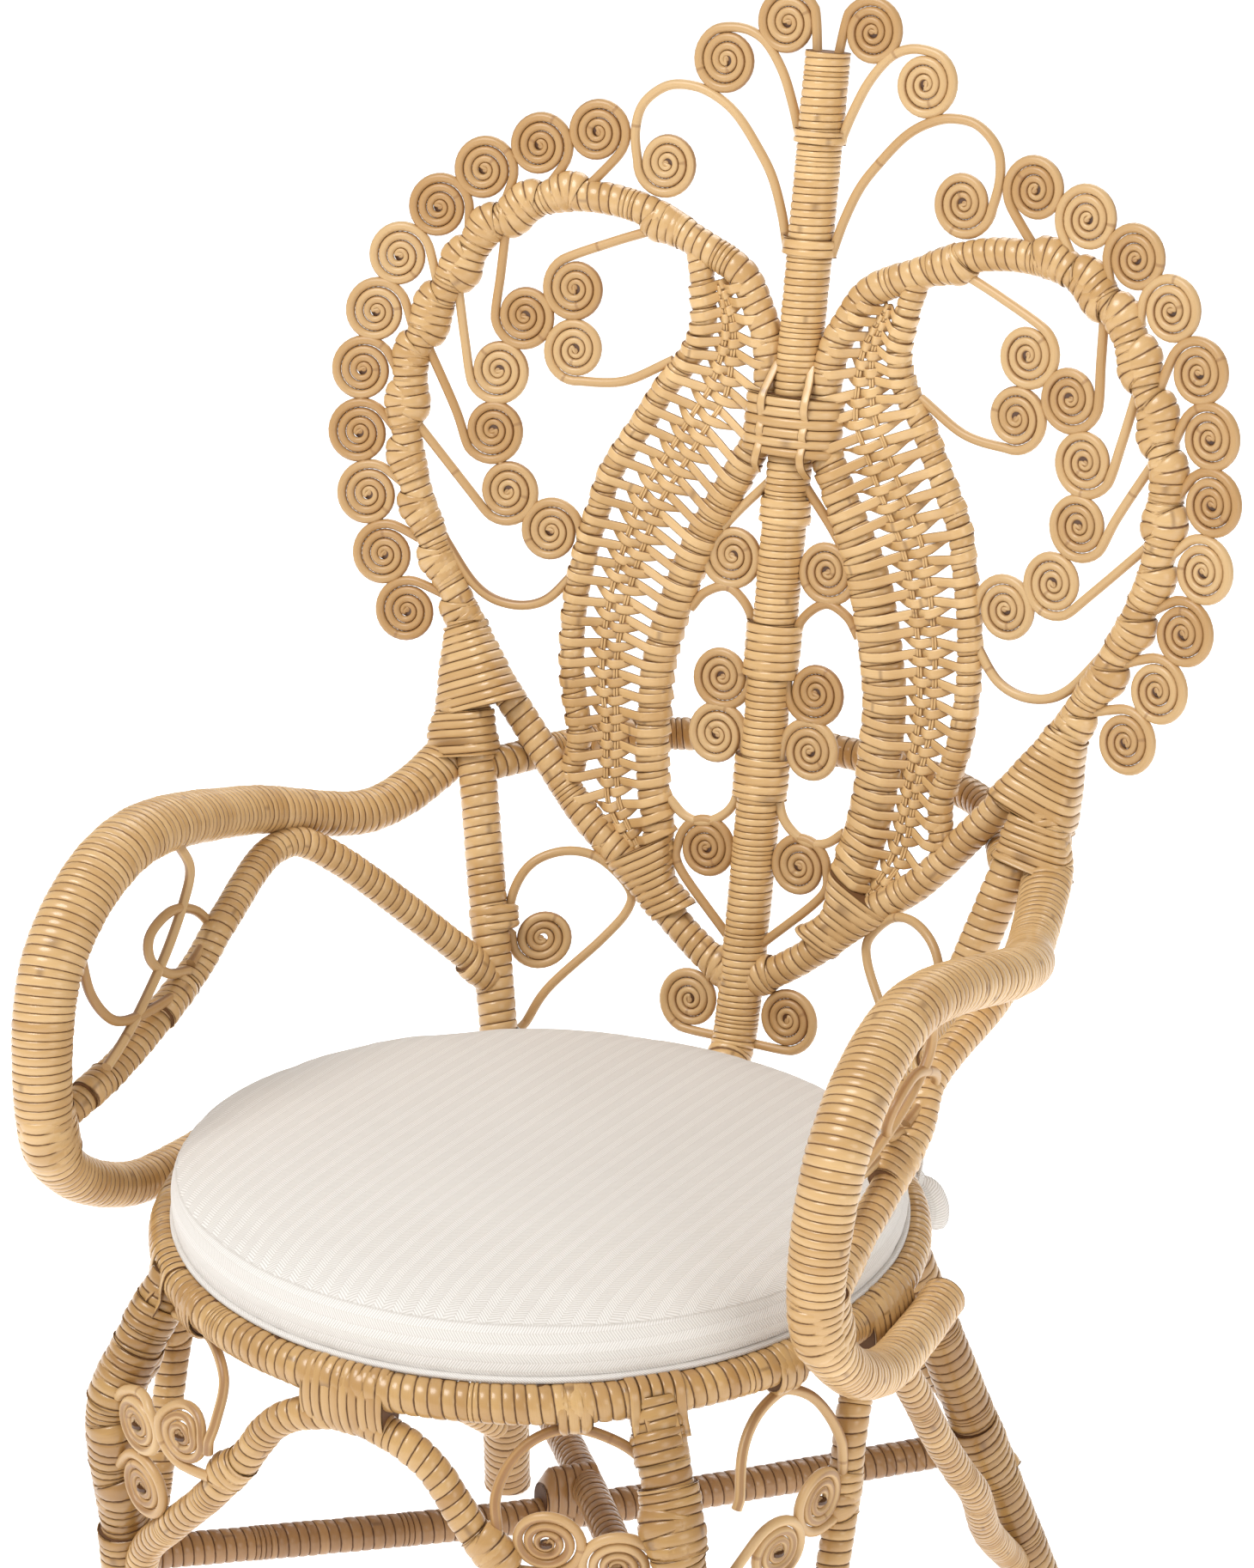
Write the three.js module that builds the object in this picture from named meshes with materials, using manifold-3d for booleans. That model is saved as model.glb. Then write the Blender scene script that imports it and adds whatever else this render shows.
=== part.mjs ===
// Peacock chair in wrapped rattan: a round seat ring on four splayed legs, loop arms, a leaning back with a
// heart-shaped frame, woven panels, scrollwork in bent cane, and a loose round cushion tied to the back.
// Millimetres, +Z up. The chair faces -Y, and its left side is -X. The origin is on the floor, under the
// middle of the chair's outline.
import * as THREE from "three";
import { mergeVertices } from "three/addons/utils/BufferGeometryUtils.js";
import Module from "manifold-3d";

const wasm = await Module();
wasm.setup();

// Fits
const clearance = 0.3;
const seatIn = 1;
const turnGap = 0.9;

// Seat ring, deck and cushion
const seatRadius = 250;
const seatHeight = 455;
const ringRadius = 13;
const deckRodRadius = 5;
const deckRodPitch = 60;
const deckBarSpread = 110;
const deckRodCorners = 5;
const cushionRadius = 250;
const cushionSide = 48;
const cushionCrown = 19;
const cushionEdge = 7;
const cushionBulge = 3;
const ringSegments = 30;
const cushionSegments = 32;

// Legs, arches and stretchers
const legTopRadius = 15;
const legFootRadius = 18;
const archRadius = 11;
const stretcherRadius = 12;
const floorDepth = legFootRadius;

// Back: the heart-shaped frame stands on a leaning sheet whose sides sweep forward
const backStandoff = 41;
const backLean = 10.5;
const backSweep = 30.6;
const heartRise = 53;
const heartHalfWidth = 293;
const heartHeight = 542;
const heartRadius = 13;
const railRadius = 10;
const postRadius = 16;
const sidePostRadius = 14;
const bindingHalfWidth = 36;
const bindingHalfDepth = 21;
const hoopRadius = 12;
const hoopReach = 128;
const sidePostAngle = 55.2;
const sideSheetSlope = 0.54;

// Arms and their brackets
const armOffset = 40;
const armRise = 237;
const armRearHalf = 15;
const armFrontHalfWidth = 22;
const armFrontHalfDepth = 18;
const bracketRadius = 11;
const armCaneOutShare = 0.72;

// Bent cane, its scrolls and the weaving strips
const caneRadius = 3.2;
const scrollRadius = 21.5;
const scrollTurns = 1.5;
const exitSwellShare = 0.35;
const pegRadius = 2.2;
const chainScrolls = 11;
const chainExitTurn = 50;
const stemRun = 10;
const bayScrollFall = 28;
const stripHalfWidth = 2.4;
const stripHalfThickness = 0.9;
const stakeRadius = 2;
const panelStrips = 16;
const tieHalfWidth = 6;
const tieHalfThickness = 2;
const knotRadius = 7;
const bowLength = 42;
const bowHalfWidth = 10;
const tailLength = 55;

// Corners and steps of the faceted tubes
const poleCorners = 7;
const thinPoleCorners = poleCorners - 1;
const caneCorners = 4;
const turnSteps = 8;
const heartSteps = 22;

const heartFoot = seatHeight + heartRise;
const ringTop = seatHeight + ringRadius;
const besidePost = postRadius + scrollRadius;
const archTop = seatHeight - ringRadius - archRadius + seatIn;
const sides = { left: -1, right: 1 };

const vector = (x, y, z) => new THREE.Vector3(x, y, z);
const radians = THREE.MathUtils.degToRad;
const upwards = vector(0, 0, 1);
const frontwards = vector(0, -1, 0);
const sidewards = vector(1, 0, 0);

// A point on the leaning sheet of the back, x from the middle and z from the floor
function onBack(x, z) {
  const lean = Math.tan(radians(backLean)) * (z - seatHeight);
  const sweep = backSweep * (x / heartHalfWidth) ** 2;
  return vector(x, seatRadius + backStandoff + lean - sweep, z);
}

// The heart's own flat measure: distance out from the middle, and height
const heartPlace = ([outShare, riseShare]) =>
  new THREE.Vector2(outShare * heartHalfWidth, heartFoot + riseShare * heartHeight);

// A point round the seat at an angle from the +X axis
function roundSeat(angle, radiusShare, height) {
  const reach = radiusShare * seatRadius;
  return vector(reach * Math.cos(radians(angle)), reach * Math.sin(radians(angle)), height);
}

const smoothCurve = (points) => new THREE.CatmullRomCurve3(points, false, "catmullrom");
const spaced = (points, steps) => smoothCurve(points).getSpacedPoints(steps);
const flatSpaced = (places, steps) => new THREE.SplineCurve(places).getSpacedPoints(steps);

// A stick is a line of points, the way its section's first axis faces, and its half-widths along the line
const stick = (points, facing, halves, corners = poleCorners) => ({ points, facing, halves, corners });
const round = (radius) => () => [radius, radius];
const cane = (points, facing) => stick(points, facing, round(caneRadius), caneCorners);
const mix = THREE.MathUtils.lerp;
const polar = (reach, angle) => new THREE.Vector2(reach * Math.cos(angle), reach * Math.sin(angle));

const solidFrom = (vertProperties, triVerts) =>
  new wasm.Manifold(new wasm.Mesh({ numProp: 3, vertProperties, triVerts }));

// The solid of a closed three.js geometry
function solidOf(geometry) {
  geometry.deleteAttribute("normal");
  geometry.deleteAttribute("uv");
  const merged = mergeVertices(geometry);
  return solidFrom(new Float32Array(merged.attributes.position.array), new Uint32Array(merged.index.array));
}

// The closed tube of a stick, with its surface moved out by `grow`
function tubeSolid({ points, facing, halves, corners }, grow) {
  const last = points.length - 1;
  const reach = 1 / Math.sqrt(Math.cos(Math.PI / corners));
  const extra = grow / Math.cos(Math.PI / corners);
  const positions = [];
  const faces = [];
  const axis = facing.clone();
  points.forEach((point, i) => {
    const before = points[Math.max(i - 1, 0)];
    const after = points[Math.min(i + 1, last)];
    const along = after.clone().sub(before).normalize();
    axis.addScaledVector(along, -axis.dot(along)).normalize();
    const across = along.clone().cross(axis);
    const [halfA, halfB] = halves(i / last);
    const ends = i === last ? grow : 0;
    const shift = i === 0 ? -grow : ends;
    for (let k = 0; k < corners; k += 1) {
      const turn = (2 * Math.PI * (k + 0.5)) / corners;
      const corner = point.clone().addScaledVector(along, shift);
      corner.addScaledVector(axis, Math.cos(turn) * (halfA * reach + extra));
      corner.addScaledVector(across, Math.sin(turn) * (halfB * reach + extra));
      positions.push(...corner.toArray());
    }
  });
  const at = (i, k) => i * corners + (k % corners);
  for (let i = 0; i < last; i += 1)
    for (let k = 0; k < corners; k += 1) {
      faces.push(at(i, k), at(i, k + 1), at(i + 1, k));
      faces.push(at(i, k + 1), at(i + 1, k + 1), at(i + 1, k));
    }
  for (let k = 1; k < corners - 1; k += 1) {
    faces.push(at(0, 0), at(0, k + 1), at(0, k));
    faces.push(at(last, 0), at(last, k), at(last, k + 1));
  }
  return solidFrom(new Float32Array(positions), new Uint32Array(faces));
}

const united = (sticks, grow = 0) =>
  sticks.map((one) => tubeSolid(one, grow)).reduce((sum, next) => sum.add(next));

// Scrolls

// How far the middle of the cane is from the scroll's centre, at a number of turns before it leaves
const scrollReach = (turnsLeft) =>
  scrollRadius - caneRadius + (2 * caneRadius + turnGap) * (exitSwellShare - turnsLeft);

// Flat places of a cane wound into a scroll, from its eye to where it leaves at `exit` degrees. With sense 1
// it winds anticlockwise, seen with the out direction to the right.
function scrollPlaces({ centre, exit, sense }) {
  const steps = Math.round(scrollTurns * turnSteps);
  return Array.from({ length: steps + 1 }, (_, i) => {
    const turnsLeft = (steps - i) / turnSteps;
    const angle = radians(exit) - sense * 2 * Math.PI * turnsLeft;
    return centre.clone().add(polar(scrollReach(turnsLeft), angle));
  });
}

// The least space between two turns of a scroll, measured on its points
function leastTurnGap() {
  const places = scrollPlaces({ centre: new THREE.Vector2(), exit: 0, sense: 1 });
  const apart = places.flatMap((a, i) => places.slice(i + turnSteps / 2).map((b) => a.distanceTo(b)));
  return Math.min(...apart) - 2 * caneRadius;
}

// A scroll and its stem, which runs on through the flat places of `route`
function scrollWithStem(scroll, route, steps) {
  const wound = scrollPlaces(scroll);
  const stem = flatSpaced([wound.at(-1), ...route], steps).slice(1);
  return [...wound, ...stem];
}

// The middle of a scroll's outermost cane in a direction
function scrollEdge({ centre, exit, sense }, direction) {
  const turnsLeft = THREE.MathUtils.euclideanModulo((sense * (radians(exit) - direction)) / (2 * Math.PI), 1);
  const facet = Math.cos(Math.PI / turnSteps);
  return centre.clone().add(polar(scrollReach(turnsLeft) * facet, direction));
}

// A peg that joins two scrolls that stand side by side
function pegPlaces(scrollA, scrollB) {
  const direction = scrollB.centre.clone().sub(scrollA.centre).angle();
  return [scrollEdge(scrollA, direction), scrollEdge(scrollB, direction + Math.PI)];
}

const peg = (points, facing) => stick(points, facing, round(pegRadius), caneCorners);

// Pieces: each new one is cut round those that stand before it, so that it seats on them

const chair = new THREE.Group();
const placed = [];
const finishes = {
  wrap: { color: 0xcf9c5f, roughness: 0.35, metalness: 0 },
  darkWrap: { color: 0xa06a38, roughness: 0.4, metalness: 0 },
  cane: { color: 0xdba869, roughness: 0.4, metalness: 0 },
  cotton: { color: 0xe9e4db, roughness: 0.95, metalness: 0 },
};
const materials = {};
for (const [name, finish] of Object.entries(finishes))
  materials[name] = new THREE.MeshStandardMaterial({ name, ...finish });

function boxesMeet(a, b) {
  return [0, 1, 2].every((i) => a.min[i] < b.max[i] + clearance && b.min[i] < a.max[i] + clearance);
}

// Adds a piece: `shape` gives its solid, and with a growth the room that later pieces leave for it
function addPiece(name, finish, shape) {
  let solid = shape(0);
  const box = solid.boundingBox();
  placed.filter((other) => boxesMeet(box, other.box)).forEach((other) => {
    solid = solid.subtract(other.room);
  });
  const bodies = solid.decompose().sort((a, b) => b.volume() - a.volume());
  const room = shape(clearance);
  placed.push({ room, box: room.boundingBox() });
  const { vertProperties, triVerts } = bodies[0].getMesh();
  const geometry = new THREE.BufferGeometry();
  geometry.setAttribute("position", new THREE.BufferAttribute(vertProperties, 3));
  geometry.setIndex(new THREE.BufferAttribute(triVerts, 1));
  const faceted = geometry.toNonIndexed();
  faceted.computeVertexNormals();
  const mesh = new THREE.Mesh(faceted, materials[finish]);
  mesh.name = name;
  chair.add(mesh);
}

const addSticks = (name, finish, sticks) => addPiece(name, finish, (grow) => united(sticks, grow));

// Seat ring, and the post and frame of the back

addPiece("seat_ring", "wrap", (grow) => {
  const ring = new THREE.TorusGeometry(seatRadius, ringRadius + grow, poleCorners, ringSegments);
  ring.translate(0, 0, seatHeight);
  return solidOf(ring);
});

// The heart frame's right half, from the foot of the V round the lobe and down into the middle
const heartShares = [
  [0, 0], [0.154, 0.054], [0.304, 0.125], [0.454, 0.19], [0.58, 0.269], [0.741, 0.378], [0.836, 0.461],
  [0.918, 0.544], [0.973, 0.616], [1, 0.69], [0.99, 0.775], [0.935, 0.854], [0.833, 0.943], [0.7, 0.99],
  [0.556, 1], [0.42, 0.988], [0.297, 0.958], [0.174, 0.926], [0.116, 0.88], [0.085, 0.838], [0.07, 0.77],
  [0.062, 0.745],
];
const innerRailShares = [
  [0.085, 0.712], [0.113, 0.683], [0.16, 0.631], [0.205, 0.581], [0.239, 0.526], [0.27, 0.465],
  [0.29, 0.406], [0.29, 0.352], [0.287, 0.292], [0.273, 0.238], [0.253, 0.194], [0.239, 0.11],
];
const outerRailShares = [
  [0.29, 0.95], [0.266, 0.895], [0.259, 0.849], [0.29, 0.806], [0.341, 0.768], [0.389, 0.721],
  [0.461, 0.653], [0.488, 0.6], [0.512, 0.544], [0.526, 0.489], [0.529, 0.435], [0.522, 0.382],
  [0.505, 0.339], [0.487, 0.299], [0.505, 0.234],
];
const postTopShare = 1.215;
const postFootDrop = 2 * ringRadius;
const bindingShares = [0.706, 0.782];
const bindingCorners = poleCorners + 3;

const postFoot = vector(0, seatRadius + ringRadius + postRadius - seatIn, seatHeight - postFootDrop);
const postRoute = [
  postFoot,
  vector(0, postFoot.y, seatHeight),
  onBack(0, heartFoot),
  onBack(0, heartFoot + (postTopShare * heartHeight) / 2),
  onBack(0, heartFoot + postTopShare * heartHeight),
];
addSticks("centre_post", "wrap", [stick(spaced(postRoute, 8), frontwards, round(postRadius))]);

addSticks("centre_binding", "wrap", [
  stick(
    bindingShares.map((share) => onBack(0, heartFoot + share * heartHeight)),
    sidewards,
    () => [bindingHalfWidth, bindingHalfDepth],
    bindingCorners,
  ),
]);

const backCurve = (places, side, steps) =>
  spaced(places.map((place) => onBack(side * place.x, place.y)), steps);

for (const [hand, side] of Object.entries(sides)) {
  const heart = backCurve(heartShares.map(heartPlace), side, heartSteps);
  addSticks(`heart_frame_${hand}`, "wrap", [stick(heart, frontwards, round(heartRadius))]);
}
for (const [hand, side] of Object.entries(sides)) {
  const outer = backCurve(outerRailShares.map(heartPlace), side, 12);
  const inner = backCurve(innerRailShares.map(heartPlace), side, 9);
  const rail = (line) => stick(line, frontwards, round(railRadius), thinPoleCorners);
  addSticks(`panel_outer_rail_${hand}`, "wrap", [rail(outer)]);
  addSticks(`panel_inner_rail_${hand}`, "wrap", [rail(inner)]);
}

// Side posts of the back, the hoop behind it, the arms and their brackets

const sidePostTopShare = [0.81, 0.428];
const armJointShare = 0.66;
const bracketJointShare = 0.17;

// The straight line of a side post, from the seat ring's outer face up to the heart frame
function sidePostPoint(side, share) {
  const beyond = ringRadius + sidePostRadius - seatIn;
  const foot = roundSeat(sidePostAngle, 1 + beyond / seatRadius, seatHeight);
  const top = heartPlace(sidePostTopShare);
  const head = onBack(top.x, top.y);
  return vector(side * mix(foot.x, head.x, share), mix(foot.y, head.y, share), mix(foot.z, head.z, share));
}

// Outwards share of armOffset beyond the seat radius, share of the seat radius backwards, share of armRise
const armShares = [
  [0.225, 0.864, 0.722], [1.125, 0.428, 0.861], [1, -0.184, 1], [0.95, -0.568, 0.789],
  [0.85, -0.664, 0.359], [0.95, -0.54, 0.127], [0.875, -0.28, -0.03], [0.72, 0, -0.063], [0.62, 0.2, -0.055],
];
const bracketShares = [
  [0.875, -0.62, 0.316], [0.65, -0.352, 0.392], [0.575, 0, 0.527], [0.475, 0.152, 0.646],
  [0.65, 0.472, 0.738], [0.05, 0.644, 0.658],
];

function besideSeat(side, [outShare, backShare, riseShare]) {
  const reach = seatRadius + outShare * armOffset;
  return vector(side * reach, backShare * seatRadius, seatHeight + riseShare * armRise);
}

// The arm's half-widths swell from its rear end to the front bend and shrink again
function armHalves(share) {
  const swell = Math.sin(Math.PI * share) ** 2;
  return [mix(armRearHalf, armFrontHalfWidth, swell), mix(armRearHalf, armFrontHalfDepth, swell)];
}

for (const [hand, side] of Object.entries(sides)) {
  const foot = sidePostPoint(side, 0);
  foot.z -= postFootDrop;
  const line = [foot, sidePostPoint(side, 0), sidePostPoint(side, 1)];
  addSticks(`back_post_${hand}`, "wrap", [stick(line, frontwards, round(sidePostRadius))]);
}
for (const [hand, side] of Object.entries(sides)) {
  const joint = sidePostPoint(side, armJointShare);
  joint.x += side * (sidePostRadius + armRearHalf - seatIn);
  const arm = [joint, ...armShares.map((place) => besideSeat(side, place))];
  addSticks(`arm_${hand}`, "wrap", [stick(spaced(arm, 16), sidewards, armHalves)]);
}
const hoopEnds = Object.values(sides).map((side) => sidePostPoint(side, armJointShare));
const hoopBack = vector(0, onBack(0, hoopEnds[0].z).y + hoopReach - heartRadius, hoopEnds[0].z);
const hoopShoulderShares = [0.46, 0.75];
const hoopShoulder = (side) => {
  const [outShare, backShare] = hoopShoulderShares;
  return vector(side * outShare * heartHalfWidth, mix(hoopEnds[0].y, hoopBack.y, backShare), hoopBack.z);
};
const hoopLine = [hoopEnds[0], hoopShoulder(-1), hoopBack, hoopShoulder(1), hoopEnds[1]];
addSticks("rear_hoop", "wrap", [stick(spaced(hoopLine, 12), upwards, round(hoopRadius))]);
for (const [hand, side] of Object.entries(sides)) {
  const bends = bracketShares.map((place) => besideSeat(side, place));
  const line = [...bends, sidePostPoint(side, bracketJointShare)];
  const bracket = stick(spaced(line, 10), sidewards, round(bracketRadius), thinPoleCorners);
  addSticks(`arm_bracket_${hand}`, "wrap", [bracket]);
}

// Legs, the arches between them and the crossed stretchers

// Angle from the side towards the front or the back, share of the seat radius, share of the seat height
const frontLegShares = [
  [45, 1, 1], [44.6, 1.12, 0.879], [44.3, 1.19, 0.77], [42.2, 1.144, 0.527], [41.5, 1.148, 0.308],
  [41.5, 1.16, 0],
];
const backLegShares = [[54.3, 1, 1], [57.5, 1.755, 0]];
const stretcherFrontShare = 0.527;
const stretcherBackShare = 0.407;

const legPoint = (side, depth, [angle, radiusShare, riseShare]) =>
  roundSeat(angle, radiusShare, riseShare * seatHeight).multiply(vector(side, depth, 1));

// The flat floor, which cuts each foot level
const floorWidth = 6 * seatRadius;
const floorSlab = new THREE.BoxGeometry(floorWidth, floorWidth, 4 * floorDepth);
floorSlab.translate(0, 0, -2 * floorDepth);
const floor = solidOf(floorSlab);

const legHalves = (share) => round(mix(legTopRadius, legFootRadius, share))();

// The middle line of a leg, carried on a little below the floor
function legLine(side, depth, shares, steps) {
  const points = shares.map((place) => legPoint(side, depth, place));
  const line = steps > 1 ? spaced(points, steps) : points;
  const down = line.at(-1).clone().sub(line.at(-2)).normalize();
  line.push(line.at(-1).clone().addScaledVector(down, floorDepth));
  return line;
}

const legLines = {};
for (const [hand, side] of Object.entries(sides)) {
  legLines[`front_${hand}`] = legLine(side, -1, frontLegShares, 8);
  legLines[`back_${hand}`] = legLine(side, 1, backLegShares, 1);
}
for (const [place, line] of Object.entries(legLines))
  addPiece(`leg_${place}`, "wrap", (grow) =>
    tubeSolid(stick(line, frontwards, legHalves), grow).subtract(floor));

// Turn from the arch's middle, share of the seat radius, share of the arch's height
const frontArchShares = [
  [6, 1.01, 0.988], [10, 1.02, 0.972], [14, 1.03, 0.9375], [19, 1.05, 0.861], [25, 1.08, 0.782],
  [33, 1.11, 0.694], [41, 1.13, 0.606], [46, 1.14, 0.49],
];
const sideArchFrontShares = [
  [5, 1.012, 0.985], [10.2, 1.036, 0.914], [13, 1.048, 0.79], [17.4, 1.068, 0.648], [23.6, 1.092, 0.49],
  [32, 1.132, 0.3], [40, 1.15, 0.139],
];
const sideArchBackShares = [
  [5, 1.005, 0.972], [10.2, 1.016, 0.884], [15, 1.036, 0.817], [22.4, 1.08, 0.706], [29.2, 1.146, 0.602],
  [34.4, 1.212, 0.521], [44.4, 1.316, 0.37], [56, 1.564, 0.185],
];
const backArchShares = [
  [6, 1.03, 0.985], [10, 1.07, 0.93], [14, 1.12, 0.84], [19, 1.2, 0.74], [25, 1.33, 0.6], [30, 1.45, 0.46],
  [34, 1.53, 0.37],
];

const archPoint = (middle, sense, [turn, radiusShare, riseShare]) =>
  roundSeat(middle + sense * turn, radiusShare, riseShare * archTop);

// An arch from leg to leg, whose top is bound under the seat ring at the angle `middle`
function archLine(middle, clockwiseShares, anticlockwiseShares, steps) {
  const before = clockwiseShares.map((place) => archPoint(middle, -1, place)).reverse();
  const after = anticlockwiseShares.map((place) => archPoint(middle, 1, place));
  return spaced([...before, roundSeat(middle, 1, archTop), ...after], steps);
}

const arches = {
  front: archLine(-90, frontArchShares, frontArchShares, 16),
  back: archLine(90, backArchShares, backArchShares, 12),
  left: archLine(180, sideArchBackShares, sideArchFrontShares, 16),
  right: archLine(0, sideArchFrontShares, sideArchBackShares, 16),
};
for (const [place, line] of Object.entries(arches))
  addSticks(`arch_${place}`, "wrap", [stick(line, upwards, round(archRadius), thinPoleCorners)]);

// The point of a leg's middle line at a share of the seat height
function legAt(line, heightShare) {
  const height = heightShare * seatHeight;
  const i = line.findIndex((point) => point.z < height);
  const [above, below] = [line[i - 1], line[i]];
  return above.clone().lerp(below, (above.z - height) / (above.z - below.z));
}
const stretcherStack = { lower: [-1, "left", "right"], upper: [1, "right", "left"] };
for (const [layer, [offset, frontHand, backHand]] of Object.entries(stretcherStack)) {
  const front = legAt(legLines[`front_${frontHand}`], stretcherFrontShare);
  const back = legAt(legLines[`back_${backHand}`], stretcherBackShare);
  const lift = vector(0, 0, offset * (stretcherRadius - seatIn));
  const line = [front.clone(), front.clone().lerp(back, 0.5).add(lift), back.clone()];
  addSticks(`stretcher_${layer}`, "darkWrap", [stick(spaced(line, 4), upwards, round(stretcherRadius))]);
}

// Scrollwork of the back

const chainShares = [
  [0.573, 1.083], [0.853, 1.022], [1.048, 0.902], [1.119, 0.749], [1.082, 0.585], [0.962, 0.434],
];

const onSide = (places, side) => places.map((place) => onBack(side * place.x, place.y));
const backCane = (places, side) => cane(onSide(places, side), frontwards);
const backPeg = (scrollA, scrollB, side) => peg(onSide(pegPlaces(scrollA, scrollB), side), frontwards);
const pairs = (items) => items.slice(1).map((item, i) => [items[i], item]);

// A scroll of the outer chain, whose stem runs in to the nearest place on the heart frame
function chainScroll(centre, frame) {
  const nearest = frame.reduce((best, place) =>
    (place.distanceTo(centre) < best.distanceTo(centre) ? place : best));
  const inwards = nearest.clone().sub(centre).angle();
  const onward = new THREE.Vector2(-Math.sin(inwards), Math.cos(inwards)).multiplyScalar(stemRun);
  const exit = THREE.MathUtils.radToDeg(inwards) - chainExitTurn;
  return { centre, exit, sense: 1, route: [nearest.clone().add(onward)] };
}

const heartFrame = flatSpaced(heartShares.map(heartPlace), 200);
const chain = flatSpaced(chainShares.map(heartPlace), chainScrolls - 1)
  .map((centre) => chainScroll(centre, heartFrame));
for (const [hand, side] of Object.entries(sides)) {
  const scrolls = chain.map((scroll) => backCane(scrollWithStem(scroll, scroll.route, 1), side));
  const pegs = pairs(chain).map(([a, b]) => backPeg(a, b, side));
  addSticks(`outer_scrolls_${hand}`, "cane", [...scrolls, ...pegs]);
}

// Inside the lobe: centre, the angle where the cane leaves, its sense, and the route of its stem
const innerScrollShares = [
  { centre: [0.597, 0.88], exit: 60, sense: 1, route: [[0.51, 0.945], [0.423, 0.963]] },
  { centre: [0.584, 0.801], exit: -105, sense: -1, route: [[0.45, 0.768], [0.328, 0.803]] },
  { centre: [0.72, 0.838], exit: -10, sense: 1, route: [[0.79, 0.89], [0.785, 0.96]] },
  { centre: [0.775, 0.764], exit: -30, sense: 1, route: [[0.868, 0.8], [0.9, 0.88]] },
  { centre: [0.778, 0.685], exit: -40, sense: 1, route: [[0.88, 0.71], [0.985, 0.81]] },
  { centre: [0.727, 0.607], exit: -60, sense: 1, route: [[0.83, 0.605], [1, 0.7]] },
  { centre: [0.608, 0.561], exit: 165, sense: 1, route: [[0.52, 0.515]] },
];
const onHeart = ({ centre, route, ...rest }) =>
  ({ centre: heartPlace(centre), route: route.map(heartPlace), ...rest });
const innerScrolls = innerScrollShares.map(onHeart);
for (const [hand, side] of Object.entries(sides)) {
  const scrolls = innerScrolls.map((scroll) => backCane(scrollWithStem(scroll, scroll.route, 3), side));
  const pegs = pairs(innerScrolls).map(([a, b]) => backPeg(a, b, side));
  addSticks(`inner_scrolls_${hand}`, "cane", [...scrolls, ...pegs]);
}

// The bare cane that hangs between the heart frame and the panel in each lobe
const lobeCaneShares = [[0.894, 0.545], [0.792, 0.478], [0.7, 0.458], [0.608, 0.469], [0.53, 0.515]];
for (const [hand, side] of Object.entries(sides))
  addSticks(`lobe_cane_${hand}`, "cane", [backCane(flatSpaced(lobeCaneShares.map(heartPlace), 8), side)]);

// Three scrolls a side climb from the lobes to the top of the centre post
const crestShares = {
  low: {
    centre: [0.389, 1.052],
    exit: 0,
    route: [[0.46, 1.095], [0.4, 1.15], [0.31, 1.153], [0.2, 1.11], [0.116, 1.057], [0.04, 0.95]],
  },
  mid: { centre: [0.259, 1.19], exit: 60, route: [[0.16, 1.215], [0.08, 1.157], [0.04, 1.09]] },
  top: { centre: [0.115, 1.245], exit: 150, route: [[0.02, 1.18]] },
};
for (const [place, shares] of Object.entries(crestShares))
  for (const [hand, side] of Object.entries(sides)) {
    const scroll = onHeart({ ...shares, sense: 1 });
    const line = scrollWithStem(scroll, scroll.route, scroll.route.length + 1);
    addSticks(`crest_scroll_${place}_${hand}`, "cane", [backCane(line, side)]);
  }

// Four scrolls a side stand against the centre post, each on the cane of its neighbour
const centreScrollShares = [
  { rise: 0.563, exit: 0, sense: 1, route: [[0.135, 0.614], [0.05, 0.665]] },
  { rise: 0.404, exit: 180, sense: -1, route: [[0.08, 0.49], [0.14, 0.525], [0.235, 0.49]] },
  { rise: 0.327, exit: 180, sense: 1, route: [[0.08, 0.24], [0.14, 0.215], [0.25, 0.24]] },
  { rise: 0.175, exit: 0, sense: -1, route: [[0.19, 0.14], [0.04, 0.06]] },
];
const centreScrolls = centreScrollShares.map(({ rise, ...rest }) =>
  onHeart({ centre: [(besidePost - seatIn / 2) / heartHalfWidth, rise], ...rest }));
for (const [hand, side] of Object.entries(sides)) {
  const scrolls = centreScrolls.map((scroll) => backCane(scrollWithStem(scroll, scroll.route, 4), side));
  const link = backPeg(centreScrolls[1], centreScrolls[2], side);
  addSticks(`centre_scrolls_${hand}`, "cane", [...scrolls, link]);
}

// The scroll at the foot of the post, and the scroll between the V and the side post
const footScrollShares = { centre: [0.133, -0.03], exit: -75, sense: -1, route: [[0.04, -0.072]] };
const footScroll = onHeart(footScrollShares);
for (const [hand, side] of Object.entries(sides))
  addSticks(`foot_scroll_${hand}`, "cane", [backCane(scrollWithStem(footScroll, footScroll.route, 2), side)]);

// Its places are shares of the side post's distance out at the seat ring, and of the heart's height
const sideScrollShares = {
  centre: [0.946, 0.033],
  route: [
    [1.079, 0.094], [1.01, 0.135], [0.876, 0.151], [0.737, 0.14], [0.61, 0.1], [0.61, 0.07],
    [0.705, 0.03], [0.902, -0.035], [0.984, -0.083],
  ],
};
const sideSheetStartShare = 0.61;
const sideReach = sidePostPoint(1, 0).x;
const sidePlace = ([outShare, riseShare]) =>
  new THREE.Vector2(outShare * sideReach, heartFoot + riseShare * heartHeight);

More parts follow.
